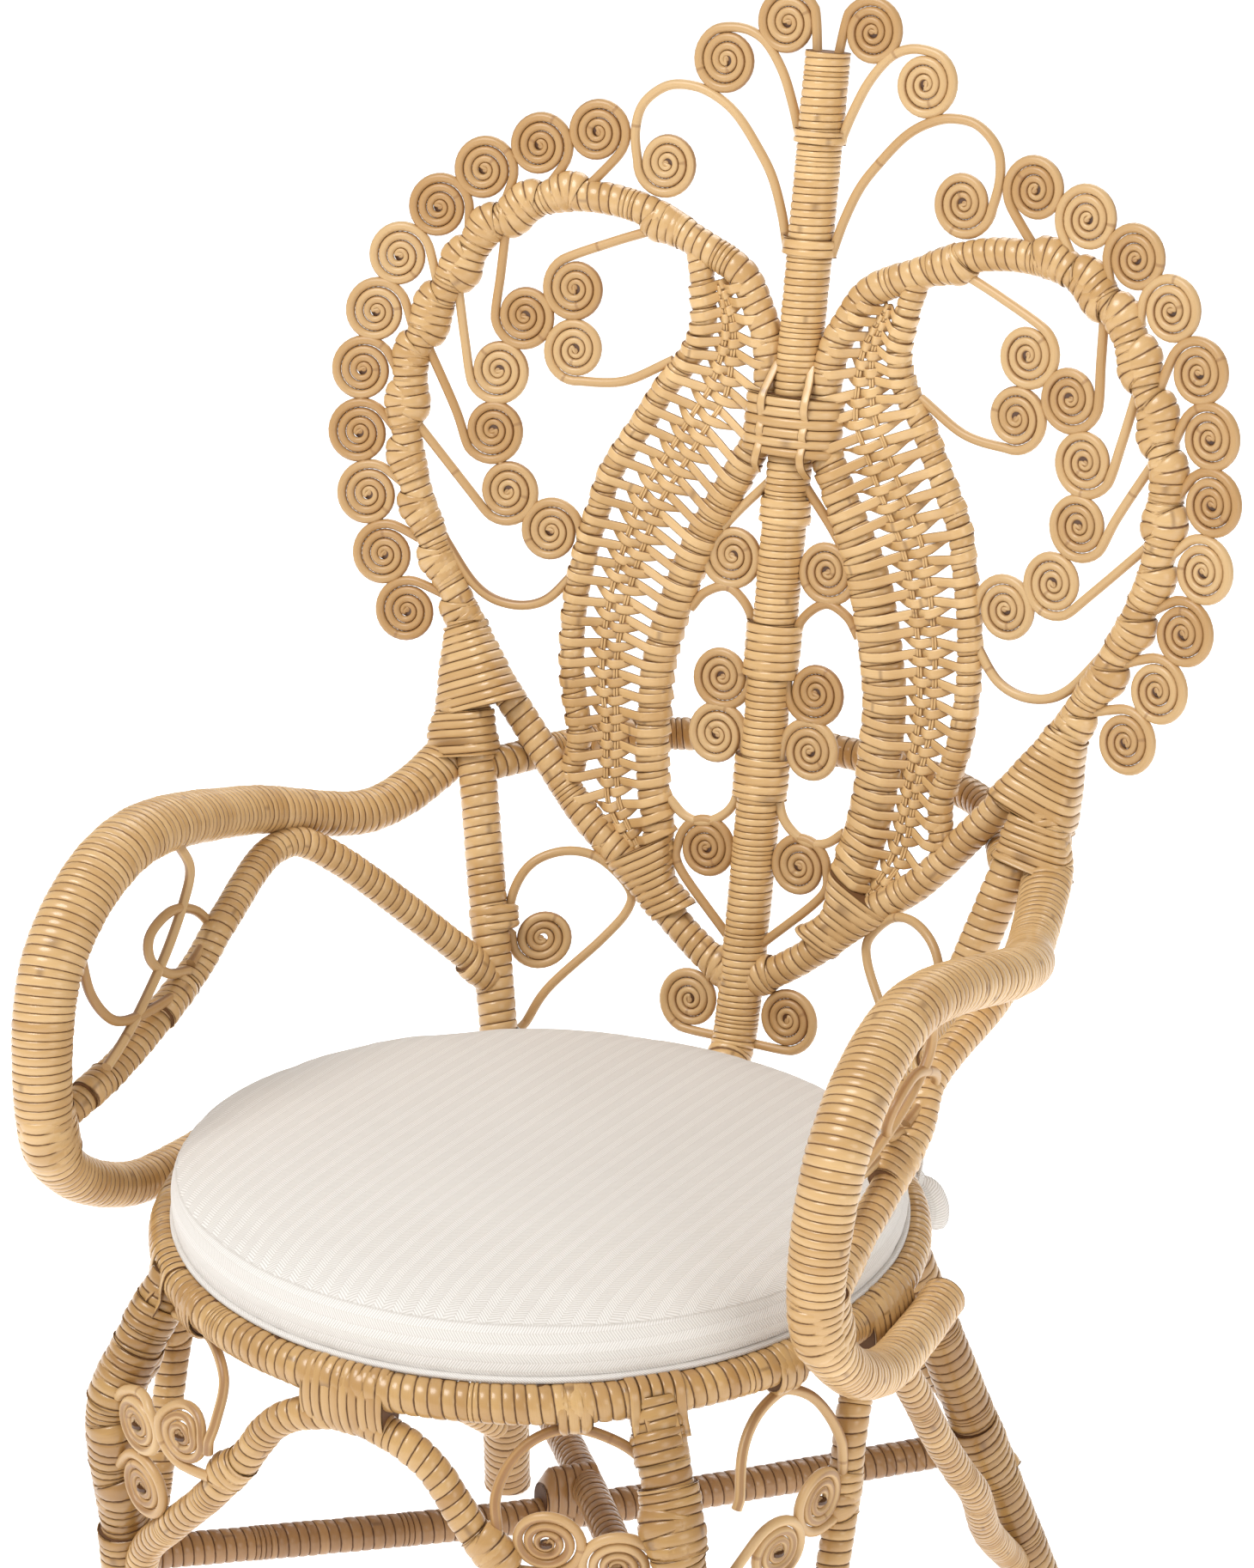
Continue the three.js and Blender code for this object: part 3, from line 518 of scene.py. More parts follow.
def sweep(
    shape: Shape,
    line: Line,
    facing: Place,
    halves: Halves,
    columns: int = 10,
    squareness: float = 1.0,
    tone: float = 0.5,
    turn_marks: bool = False,
) -> None:
    """Adds a plain stick, cane or flat strip along a line.

    Args:
        shape: Takes the faces.
        line: Middle line.
        facing: Direction that the section's first axis starts towards.
        halves: Half-widths along the line.
        columns: Faces round the section.
        squareness: 1 for an oval section, less for a flatter one with rounded corners.
        tone: The body's own shade, from 0 to 1.
        turn_marks: True for a strip that takes the finish of a wound pole.
    """
    _, firsts, seconds = frames(line, facing)
    run = run_lengths(line)
    half_a, half_b = halves(run / run[-1])
    wave_a, wave_b = rounded(TURN * (np.arange(columns) + 0.5) / columns, squareness)
    places = line[:, None, :] + firsts[:, None, :] * (half_a[:, None] * wave_a)[..., None]
    places = places + seconds[:, None, :] * (half_b[:, None] * wave_b)[..., None]
    row, column = grid_cells(len(line) - 1, columns)
    marks = cell_marks(column / columns, (column + 1) / columns, run[row], run[row + 1])
    if turn_marks:
        across_share = np.clip((wave_a + 1) / 2, *STRIP_INSIDE)
        left, right = across_share[column], across_share[(column + 1) % columns]
        marks = np.stack([marks[..., 1] / STRIP_TURN, np.stack([left, right, right, left], -1)], axis=-1)
    shape.add(places.reshape(-1, 3), tube_faces(row, column, columns), marks, tone)
    shape.disc(places[0], tone, True)
    shape.disc(places[-1], tone, False)


# Plan


HEART_SHARES = (
    (0, 0), (0.154, 0.054), (0.304, 0.125), (0.454, 0.19), (0.58, 0.269), (0.741, 0.378), (0.836, 0.461),
    (0.918, 0.544), (0.973, 0.616), (1, 0.69), (0.99, 0.775), (0.935, 0.854), (0.833, 0.943), (0.7, 0.99),
    (0.556, 1), (0.42, 0.988), (0.297, 0.958), (0.174, 0.926), (0.116, 0.88), (0.085, 0.838), (0.07, 0.77),
    (0.062, 0.745),
)  # fmt: skip
INNER_RAIL_SHARES = (
    (0.085, 0.712), (0.113, 0.683), (0.16, 0.631), (0.205, 0.581), (0.239, 0.526), (0.27, 0.465),
    (0.29, 0.406), (0.29, 0.352), (0.287, 0.292), (0.273, 0.238), (0.253, 0.194), (0.239, 0.11),
)  # fmt: skip
OUTER_RAIL_SHARES = (
    (0.29, 0.95), (0.266, 0.895), (0.259, 0.849), (0.29, 0.806), (0.341, 0.768), (0.389, 0.721),
    (0.461, 0.653), (0.488, 0.6), (0.512, 0.544), (0.526, 0.489), (0.529, 0.435), (0.522, 0.382),
    (0.505, 0.339), (0.487, 0.299), (0.505, 0.234),
)  # fmt: skip
ARM_SHARES = (
    (0.225, 0.864, 0.722), (1.125, 0.428, 0.861), (1, -0.184, 1), (0.95, -0.568, 0.789), (0.85, -0.664, 0.359),
    (0.95, -0.54, 0.127), (0.875, -0.28, -0.03), (0.72, 0, -0.063), (0.62, 0.2, -0.055),
)  # fmt: skip
BRACKET_SHARES = (
    (0.875, -0.62, 0.316), (0.65, -0.352, 0.392), (0.575, 0, 0.527), (0.475, 0.152, 0.646),
    (0.65, 0.472, 0.738), (0.05, 0.644, 0.658),
)  # fmt: skip
FRONT_LEG_SHARES = (
    (45, 1, 1), (44.6, 1.12, 0.879), (44.3, 1.19, 0.77), (42.2, 1.144, 0.527), (41.5, 1.148, 0.308),
    (41.5, 1.16, 0),
)  # fmt: skip
BACK_LEG_SHARES = ((54.3, 1, 1), (57.5, 1.755, 0))
FRONT_ARCH_SHARES = (
    (6, 1.01, 0.988), (10, 1.02, 0.972), (14, 1.03, 0.9375), (19, 1.05, 0.861), (25, 1.08, 0.782),
    (33, 1.11, 0.694), (41, 1.13, 0.606), (46, 1.14, 0.49),
)  # fmt: skip
SIDE_ARCH_FRONT_SHARES = (
    (5, 1.012, 0.985), (10.2, 1.036, 0.914), (13, 1.048, 0.79), (17.4, 1.068, 0.648), (23.6, 1.092, 0.49),
    (32, 1.132, 0.3), (40, 1.15, 0.139),
)  # fmt: skip
SIDE_ARCH_BACK_SHARES = (
    (5, 1.005, 0.972), (10.2, 1.016, 0.884), (15, 1.036, 0.817), (22.4, 1.08, 0.706), (29.2, 1.146, 0.602),
    (34.4, 1.212, 0.521), (44.4, 1.316, 0.37), (56, 1.564, 0.185),
)  # fmt: skip
BACK_ARCH_SHARES = (
    (6, 1.03, 0.985), (10, 1.07, 0.93), (14, 1.12, 0.84), (19, 1.2, 0.74), (25, 1.33, 0.6), (30, 1.45, 0.46),
    (34, 1.53, 0.37),
)  # fmt: skip


@dataclass
class ChairPlan:
    """The chair's measures and the places that come from them.

    Attributes:
        shift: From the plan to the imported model's frame.
    """

    shift: tuple[float, float, float] = (0.0, 0.0, 0.0)
    seat_in: float = 0.001
    seat_radius: float = 0.25
    seat_height: float = 0.455
    ring_radius: float = 0.013
    leg_top_half: float = 0.0167
    leg_foot_half: float = 0.0182
    arch_radius: float = 0.011
    stretcher_radius: float = 0.012
    back_standoff: float = 0.041
    back_lean: float = math.radians(10.5)
    back_sweep: float = 0.0306
    heart_rise: float = 0.053
    heart_half_width: float = 0.293
    heart_height: float = 0.542
    heart_radius: float = 0.013
    rail_radius: float = 0.01
    outer_rail_half: float = 0.009
    post_radius: float = 0.016
    side_post_radius: float = 0.014
    binding_half_width: float = 0.036
    binding_half_depth: float = 0.021
    hoop_radius: float = 0.012
    hoop_reach: float = 0.128
    side_post_angle: float = 55.2
    side_sheet_slope: float = 0.54
    arm_offset: float = 0.04
    arm_rise: float = 0.237
    bracket_radius: float = 0.011
    cane_radius: float = 0.0036
    scroll_radius: float = 0.0215

    side_post_top_share = (0.81, 0.428)
    post_top_share = 1.215
    binding_shares = (0.706, 0.782)
    rail_rises = (0.11, 0.2, 0.55, 0.66, 0.9)
    inner_rail_halves = {
        -1: (0.0115, 0.0125, 0.0125, 0.012, 0.0115),
        1: (0.0115, 0.0165, 0.0165, 0.0125, 0.0115),
    }
    hoop_shoulder_shares = (0.46, 0.75)
    arm_joint_share = 0.66
    arm_head = ((0.82, 0.006), (0.74, 0.018), (0.66, 0.028))
    bracket_joint_share = 0.17
    side_sheet_start_share = 0.61
    stretcher_front_share = 0.527
    stretcher_back_share = 0.407
    bay_reach_shares = (1.06, 1.14)
    least_ring_places = 8

    @property
    def heart_foot(self) -> float:
        """Height of the heart frame's foot."""
        return self.seat_height + self.heart_rise

    @property
    def beside_post(self) -> float:
        """Distance from the middle to a scroll that stands against the centre post."""
        return self.post_radius + self.scroll_radius

    @property
    def arch_top(self) -> float:
        """Height of the arches' middle line under the seat ring."""
        return self.seat_height - self.ring_radius - self.arch_radius + self.seat_in

    def on_back(self, x: float, z: float) -> np.ndarray:
        """A place on the leaning sheet of the back.

        Args:
            x: Distance from the middle.
            z: Height.

        Returns:
            The place.
        """
        lean = math.tan(self.back_lean) * (z - self.seat_height)
        sweep_in = self.back_sweep * (x / self.heart_half_width) ** 2
        return np.array([x, self.seat_radius + self.back_standoff + lean - sweep_in, z])

    def on_heart(self, share: Place, side: int = 1) -> np.ndarray:
        """A place on the back, from shares of the heart's half-width and height."""
        return self.on_back(side * share[0] * self.heart_half_width, self.heart_foot + share[1] * self.heart_height)

    def flat_heart(self, share: Place) -> np.ndarray:
        """The flat place out from the middle and up of shares of the heart."""
        return np.array([share[0] * self.heart_half_width, self.heart_foot + share[1] * self.heart_height])

    def on_side_sheet(self, flat: Place, side: int) -> np.ndarray:
        """A place on the sheet between the V of the heart frame and a side post.

        Args:
            flat: Distance from the middle, and height.
            side: Sign of the side along X.

        Returns:
            The place.
        """
        place = self.on_back(0.0, flat[1])
        place[0] = side * flat[0]
        start = self.side_sheet_start_share * self.side_post_point(1, 0)[0]
        place[1] -= self.side_sheet_slope * (flat[0] - start)
        return place

    def round_seat(self, degrees: float, radius_share: float, height: float) -> np.ndarray:
        """A place round the seat at an angle from the +X axis."""
        angle, reach = math.radians(degrees), radius_share * self.seat_radius
        return np.array([reach * math.cos(angle), reach * math.sin(angle), height])

    def beside_seat(self, side: int, share: Place) -> np.ndarray:
        """A place beside the seat, where the arms are."""
        out = side * (self.seat_radius + share[0] * self.arm_offset)
        return np.array([out, share[1] * self.seat_radius, self.seat_height + share[2] * self.arm_rise])

    def side_post_point(self, side: int, share: float) -> np.ndarray:
        """A place on a side post, from its foot on the seat ring up to the heart frame.

        Args:
            side: Sign of the side along X.
            share: Share of the way up.

        Returns:
            The place.
        """
        beyond = self.ring_radius + self.side_post_radius - self.seat_in
        foot = self.round_seat(self.side_post_angle, 1 + beyond / self.seat_radius, self.seat_height)
        place = foot + (self.on_heart(self.side_post_top_share) - foot) * share
        return place * np.array([side, 1, 1])

    def inner_rail_half(self, side: int, height: float | np.ndarray) -> float | np.ndarray:
        """Half-width of a panel's inner rail at a height, with all the strips laid on it."""
        rise = (height - self.heart_foot) / self.heart_height
        return np.interp(rise, self.rail_rises, self.inner_rail_halves[side])

    def post_line(self) -> Line:
        """Middle line of the centre post."""
        top = self.post_top_share
        foot = np.array([0, self.seat_radius + self.ring_radius + self.post_radius - self.seat_in, self.seat_height])
        below = foot - raised(2 * self.ring_radius)
        return smooth_line([below, foot, *(self.on_heart((0, share)) for share in (0, top / 2, top))])

    def side_post_line(self, side: int) -> Line:
        """Middle line of a side post."""
        foot, top = (self.side_post_point(side, share) for share in (0, 1))
        return even_line(np.array([foot - raised(2 * self.ring_radius), foot, top]), FINE_STEP)

    def back_line(self, shares: Iterable[Place], side: int) -> Line:
        """A smooth line on the back through shares of the heart."""
        return smooth_line([self.on_heart(share, side) for share in shares])

    def arm_line(self, side: int) -> Line:
        """Middle line of an arm, from its side post round the front bend to the seat ring.

        Args:
            side: Sign of the side along X.

        Returns:
            The line.
        """
        places = []
        for share, out in self.arm_head:
            place = self.side_post_point(side, share)
            place[0] += side * out
            places.append(place)
        return smooth_line([*places, *(self.beside_seat(side, share) for share in ARM_SHARES)])

    def bracket_line(self, side: int) -> Line:
        """Middle line of the bent pole under an arm."""
        places = [self.beside_seat(side, share) for share in BRACKET_SHARES]
        return smooth_line([*places, self.side_post_point(side, self.bracket_joint_share)])

    def hoop_line(self) -> Line:
        """Middle line of the hoop behind the back."""
        left, right = (self.side_post_point(side, self.arm_joint_share) for side in (-1, 1))
        height = left[2]
        back = np.array([0, self.on_back(0, height)[1] + self.hoop_reach - self.heart_radius, height])
        out_share, back_share = self.hoop_shoulder_shares
        depth = left[1] + (back[1] - left[1]) * back_share
        shoulders = [np.array([side * out_share * self.heart_half_width, depth, height]) for side in (-1, 1)]
        return smooth_line([left, shoulders[0], back, shoulders[1], right])

    def leg_line(self, side: int, depth: int) -> Line:
        """Middle line of a leg.

        Args:
            side: Sign of its side along X.
            depth: -1 for a front leg, 1 for a back leg.

        Returns:
            The line from the seat ring to the floor.
        """
        shares = FRONT_LEG_SHARES if depth < 0 else BACK_LEG_SHARES
        turned = np.array([side, depth, 1])
        return smooth_line([self.round_seat(a, r, h * self.seat_height) * turned for a, r, h in shares])

    def arch_line(self, middle: float, clockwise: Iterable[Place], anticlockwise: Iterable[Place]) -> Line:
        """Middle line of an arch whose top is bound under the seat ring.

        Args:
            middle: Angle round the seat of the arch's top.
            clockwise: Turn from the middle and shares of radius and height on one branch.
            anticlockwise: The same on the other branch.

        Returns:
            The line from leg to leg.
        """
        before = [self.round_seat(middle - a, r, h * self.arch_top) for a, r, h in clockwise]
        after = [self.round_seat(middle + a, r, h * self.arch_top) for a, r, h in anticlockwise]
        return smooth_line([*before[::-1], self.round_seat(middle, 1, self.arch_top), *after])

    def ring_line(self, start: float, end: float) -> Line:
        """A stretch of the seat ring's middle line between two angles.

        Args:
            start: First angle in degrees.
            end: Last angle.

        Returns:
            The line.
        """
        count = round(math.radians(abs(end - start)) * self.seat_radius / FINE_STEP)
        count = max(self.least_ring_places, count)
        return np.array([self.round_seat(a, 1, self.seat_height) for a in np.linspace(start, end, count)])


# Materials


class Wire:
    """An output of a node, with arithmetic that adds Math nodes."""

    def __init__(self, board: NodeBoard, socket: bpy.types.NodeSocket) -> None:
        """Wraps one output socket of a board."""
        self.board = board
        self.socket = socket

    def __add__(self, other: Wire | float) -> Wire:
        """Sum."""
        return self.board.maths("ADD", self, other)

    __radd__ = __add__

    def __sub__(self, other: Wire | float) -> Wire:
        """Difference."""
        return self.board.maths("SUBTRACT", self, other)

    def __rsub__(self, other: float) -> Wire:
        """Difference from a number."""
        return self.board.maths("SUBTRACT", other, self)

    def __mul__(self, other: Wire | float) -> Wire:
        """Product."""
        return self.board.maths("MULTIPLY", self, other)

    __rmul__ = __mul__

    def __truediv__(self, other: Wire | float) -> Wire:
        """Quotient."""
        return self.board.maths("DIVIDE", self, other)

    def __pow__(self, other: float) -> Wire:
        """Power."""
        return self.board.maths("POWER", self, other)

    def __abs__(self) -> Wire:
        """Size without its sign."""
        return self.board.maths("ABSOLUTE", self)

    def floor(self) -> Wire:
        """Whole part."""
        return self.board.maths("FLOOR", self)

    def fract(self) -> Wire:
        """Part after the point."""
        return self.board.maths("FRACT", self)

    def over(self, low: float, high: float) -> Wire:
        """A mask that rises smoothly from 0 at low to 1 at high.

        Args:
            low: Value where the mask is 0.
            high: Value where the mask is 1.

        Returns:
            The mask.
        """
        settings = {"interpolation_type": "SMOOTHSTEP"}
        inputs = {"Value": self, "From Min": low, "From Max": high}
        return self.board.add("ShaderNodeMapRange", settings, inputs, "Result")

    def between(self, low: float, high: float) -> Wire:
        """Spreads 0 to 1 evenly over low to high."""
        return self * (high - low) + low


class NodeBoard:
    """A material's nodes."""

    def __init__(self, name: str) -> None:
        """Starts a material with only its output.

        Args:
            name: The material's name.
        """
        self.material = bpy.data.materials.new(name)
        self.material.use_nodes = True
        self.tree = self.material.node_tree
        self.tree.nodes.clear()
        self.output = self.tree.nodes.new("ShaderNodeOutputMaterial")

    def add(self, kind: str, settings: dict, inputs: dict, output: str | int = 0) -> Wire:
        """Adds a node.

        Args:
            kind: The node's type.
            settings: Values of its properties, set first.
            inputs: Value or wire for each input, by name or number.
            output: Which output to give back.

        Returns:
            That output.
        """
        node = self.tree.nodes.new(kind)
        for key, value in settings.items():
            setattr(node, key, value)
        for key, value in inputs.items():
            if isinstance(value, Wire):
                self.tree.links.new(value.socket, node.inputs[key])
            else:
                node.inputs[key].default_value = value
        return Wire(self, node.outputs[output])

    def maths(self, operation: str, *values: Wire | float) -> Wire:
        """A Math node on one to three values."""
        return self.add("ShaderNodeMath", {"operation": operation}, dict(enumerate(values)))

    def blend(self, factor: Wire | float, first: Wire | tuple, second: Wire | tuple, way: str = "MIX") -> Wire:
        """Mixes two colours by a factor."""
        settings = {"data_type": "RGBA", "blend_type": way}
        return self.add("ShaderNodeMix", settings, {0: factor, 6: first, 7: second}, 2)

    def vector(self, x: Wire | float, y: Wire | float, z: Wire | float = 0.0) -> Wire:
        """A vector from three values."""
        return self.add("ShaderNodeCombineXYZ", {}, {0: x, 1: y, 2: z})

    def split(self, vector: Wire) -> tuple[Wire, Wire, Wire]:
        """The three values of a vector.

        Args:
            vector: The vector.

        Returns:
            Its values.
        """
        first = self.add("ShaderNodeSeparateXYZ", {}, {0: vector})
        node = first.socket.node
        return first, Wire(self, node.outputs[1]), Wire(self, node.outputs[2])

    def winding(self) -> tuple[Wire, Wire]:
        """The winding marks: share of a turn, and turn number or run length."""
        u, v, _ = self.split(self.add("ShaderNodeUVMap", {"uv_map": "Winding"}, {}))
        return u, v

    def place(self) -> Wire:
        """The place on the object."""
        return self.add("ShaderNodeTexCoord", {}, {}, "Object")

    def tone(self) -> Wire:
        """The body's own shade."""
        return self.add("ShaderNodeAttribute", {"attribute_name": "Tone"}, {}, "Fac")

    def noise(self, vector: Wire, scale: float, detail: float = 2.0, roughness: float = 0.5) -> Wire:
        """Smooth noise from 0 to 1."""
        inputs = {"Vector": vector, "Scale": scale, "Detail": detail, "Roughness": roughness}
        return self.add("ShaderNodeTexNoise", {}, inputs)

    def dress(self, distance: float, height: Wire, strength: float, **inputs: Wire | float | tuple) -> None:
        """Adds the surface shader with a bump.

        Args:
            distance: Height of the bump for a value of 1.
            height: The bump.
            strength: Strength of the bump.
            inputs: Value or wire for each shader input, with underscores for spaces.
        """
        bump_inputs = {"Strength": strength, "Distance": distance, "Height": height}
        normal = self.add("ShaderNodeBump", {}, bump_inputs, "Normal")
        given = {key.replace("_", " "): value for key, value in inputs.items()}
        shader = self.add("ShaderNodeBsdfPrincipled", {}, {**given, "Normal": normal})
        self.tree.links.new(shader.socket, self.output.inputs["Surface"])


@dataclass(frozen=True)
class StripFinish:
    """Glossy rattan peel, wound round a pole.

    Attributes:
        name: The material's name.
        pale: Colour of the palest strips.
        deep: Colour of the deepest strips.
        seam: Colour between two turns.
        shine: Coat weight.
        roughness: Middle roughness.
        frays: Share of the nicks and dark marks, from 0 to 1.
        relief: Depth of the bump.
    """

    name: str
    pale: Colour
    deep: Colour
    seam: Colour
    shine: float = 0.35
    roughness: float = 0.36
    frays: float = 0.5
    relief: float = 0.0004

    def material(self) -> bpy.types.Material:
        """Makes the procedural material."""
        board = NodeBoard(self.name)
        share, turn = board.winding()
        tone = board.tone()
        strip = turn.floor()
        across = turn.fract()
        along = strip + share + tone * 200
        slow = board.noise(board.vector(along * 0.8, tone * 30), 1.0, 1.0)
        fibres = board.noise(board.vector(along * 5, across * 9 + strip * 7), 1.0, 3.0, 0.6)
        blotches = board.noise(board.place(), 24.0, 2.0)
        edge = abs(across * 2 - 1)
        ragged = board.noise(board.vector(along * 14, strip * 3), 1.0, 2.0)
        seam = (edge + (ragged - 0.5) * 0.2).over(0.8, 0.97)
        marks = board.noise(board.vector(along * 6, across * 1.6 + strip * 5), 1.0, 4.0, 0.7)
        nicks = marks.over(0.69 - 0.04 * self.frays, 0.74 - 0.03 * self.frays) * edge.over(0.25, 0.8)
        node_place = (along * 0.31 + slow * 0.4).fract()
        node_line = (1 - abs(node_place - 0.5).over(0.0, 0.012)) * 0.45
        shade = (slow * 0.55 + blotches * 0.45).over(0.3, 0.7)
        colour = board.blend(shade, self.pale, self.deep)
        colour = board.blend((fibres - 0.5) * 0.7 + 0.12, colour, self.deep)
        colour = board.blend(seam * 0.9, colour, self.seam)
        colour = board.blend(nicks * self.frays + node_line * (1 - seam), colour, self.seam)
        height = (1 - edge**4) * 0.75 + fibres * 0.15 - nicks * 0.3 - node_line * 0.2
        roughness = (self.roughness + (fibres - 0.5) * 0.25) + seam * 0.35
        board.dress(
            self.relief,
            height,
            0.55,
            Base_Color=colour,
            Roughness=roughness,
            Coat_Weight=(1 - seam) * self.shine,
            Coat_Roughness=0.16,
        )
        return board.material


@dataclass(frozen=True)
class CaneFinish:
    """Round cane with long fibres and a node now and then.

    Attributes:
        name: The material's name.
        pale: Colour of the palest canes.
        deep: Colour of the deepest canes.
        node: Colour of the nodes, also of the painted shade on the touching sides of the wound turns and in the
            scroll's eye.
        gap: Colour of the plug behind a scroll's eye, painted shade for the dark gap there.
        roughness: Middle roughness.
        shine: Coat weight.
        eye_run: Length of the start of a cane, in the eye of its scroll, that takes painted shade.
        scroll_run: Length that is wound up, whose sides get painted shade where turns touch.
        relief: Depth of the bump.
    """

    name: str
    pale: Colour
    deep: Colour
    node: Colour
    gap: Colour = (0.085, 0.034, 0.012, 1)
    roughness: float = 0.42
    shine: float = 0.15
    eye_run: float = 0.01
    scroll_run: float = 0.22
    relief: float = 0.0003

    def material(self) -> bpy.types.Material:
        """Makes the procedural material."""
        board = NodeBoard(self.name)
        share, run = board.winding()
        tone = board.tone()
        round_a = board.maths("COSINE", share * TURN)
        round_b = board.maths("SINE", share * TURN)
        fibres = board.noise(board.vector(round_a * 2.2, round_b * 2.2, run * 22 + tone * 40), 1.0, 4.0, 0.65)
        slow = board.noise(board.vector(run * 9, tone * 50), 1.0, 1.0)
        node_place = (run * 5.3 + tone * 9).fract()
        node_line = 1 - abs(node_place - 0.5).over(0.002, 0.009)
        specks = board.noise(board.place(), 900.0, 1.0).over(0.72, 0.8)
        # Painted shade on the sides of the wound turns, where they touch.
        sides = abs(round_b).over(0.8, 1.0) * (1 - run.over(self.scroll_run * 0.9, self.scroll_run))
        # Painted shade on the start of the cane, deep in the scroll's eye.
        eye = 1 - run.over(self.eye_run * 0.4, self.eye_run)
        colour = board.blend((slow * 0.6 + tone * 0.4).over(0.25, 0.75), self.pale, self.deep)
        colour = board.blend((fibres - 0.35) * 0.5, colour, self.deep)
        colour = board.blend(node_line * 0.5 + specks * 0.25, colour, self.node)
        # Painted shade where the wound turns touch.
        colour = board.blend(sides * 0.7, colour, self.node)
        # Painted shade in the scroll's eye.
        colour = board.blend(eye * 0.4, colour, self.node)
        # Painted shade: plugs take the colour of the shaded gap behind the eye.
        colour = board.blend(tone.over(1.4, 1.5), colour, self.gap)
        height = fibres * 0.5 + node_line * 0.8
        board.dress(
            self.relief,
            height,
            0.5,
            Base_Color=colour,
            Roughness=self.roughness + (fibres - 0.5) * 0.2,
            Coat_Weight=self.shine,
            Coat_Roughness=0.25,
        )
        return board.material


@dataclass(frozen=True)
class HerringboneFinish:
    """Cream cotton woven in herringbone.

    Attributes:
        name: The material's name.
        light: Colour of the raised threads.
        dark: Colour between them, also of the painted shade on every other band and along the seam.
        band: Width of one band of slanting threads.
        thread: Distance between threads along a band.
        slant: Threads that a band's slant crosses.
        side_radius: Radius of the cushion, whose side has bands that run round it, or 0 for straps.
        base: Height of the cushion's underside.
        side_rise: Height of its side at the front.
        thinning: Share by which it is thinner at the back.
        grain: Direction of the top panel's bands, in degrees.
        band_shade: How much darker every other band is painted, as painted shade for threads that slant away from the
            light.
        centre: Middle of the cushion.
        strap_round: Distance that the weave spans once round a strap.
        side_from: Share of the radius from which the side's bands may begin.
        seam_halves: Half-widths of the painted shade along the seam, its dark core and its faded edge.
        relief: Depth of the bump.
    """

    name: str
    light: Colour = (0.85, 0.82, 0.782, 1)
    dark: Colour = (0.50, 0.455, 0.40, 1)
    band: float = 0.0066
    thread: float = 0.0019
    slant: float = 2.2
    side_radius: float = 0.0
    base: float = 0.0
    side_rise: float = 0.0
    thinning: float = 0.0
    grain: float = 90.0
    band_shade: float = 0.16
    centre: tuple[float, float] = (0.0, 0.0)
    strap_round: float = 0.03
    side_from: float = 0.86
    seam_halves: tuple[float, float] = (0.0002, 0.0011)
    relief: float = 0.0005

    def weave(self, board: NodeBoard) -> tuple[Wire, Wire, Wire | float]:
        """The places across and along the bands.

        Args:
            board: The material's nodes.

        Returns:
            Both places in metres, and 1 on the seam between the side and the top.
        """
        if not self.side_radius:
            share, run = board.winding()
            return share * self.strap_round, run, 0.0
        x, y, z = board.split(board.place())
        x, y = x - self.centre[0], y - self.centre[1]
        angle = math.radians(self.grain)
        across = x * math.sin(angle) + y * math.cos(angle)
        along = x * math.cos(angle) - y * math.sin(angle)
        reach = board.maths("SQRT", x * x + y * y)
        rise = (z - self.base) / (1 - (y + self.side_radius) * (self.thinning / (2 * self.side_radius)))
        rim = (reach / self.side_radius).over(self.side_from, self.side_from + 1e-3)
        side = rim * (1 - rise.over(self.side_rise, self.side_rise + 1e-4))
        seam = rim * (1 - abs(rise - self.side_rise).over(*self.seam_halves))
        turn = board.maths("ARCTAN2", y, x) * self.side_radius
        return across * (1 - side) + z * side, along * (1 - side) + turn * side, seam

    def material(self) -> bpy.types.Material:
        """Makes the procedural material."""
        board = NodeBoard(self.name)
        across, along, seam = self.weave(board)
        slope = abs((across / (2 * self.band)).fract() - 0.5) * 2
        threads = (along / self.thread + slope * self.slant).fract()
        raised = 1 - abs(threads * 2 - 1) ** 1.5
        turn_back = (abs((across / self.band).fract() - 0.5) * 2).over(0.82, 1.0)
        fuzz = board.noise(board.place(), 1400.0, 2.0)
        soft = board.noise(board.place(), 9.0, 2.0)
        colour = board.blend(raised * 0.75 + fuzz * 0.3, self.dark, self.light)
        colour = board.blend(turn_back * 0.25, colour, self.dark)
        # Painted shade on every other band, where the threads slant away from the light.
        shaded = ((across / (2 * self.band)).fract() - 0.5).over(-0.02, 0.02)
        colour = board.blend(shaded * self.band_shade, colour, self.dark)
        colour = board.blend((soft - 0.4) * 0.2, colour, self.light)
        if self.side_radius:
            # Painted shade along the seam's crease between the side and the top.
            colour = board.blend(seam * 0.4, colour, self.dark)
        height = raised * (1 - turn_back * 0.5) + fuzz * 0.35 - seam * 1.0
        board.dress(
            self.relief,
            height,
            0.5,
            Base_Color=colour,
            Roughness=0.95 - fuzz * 0.1,
            Sheen_Weight=0.25,
            Sheen_Roughness=0.5,
        )
        return board.material


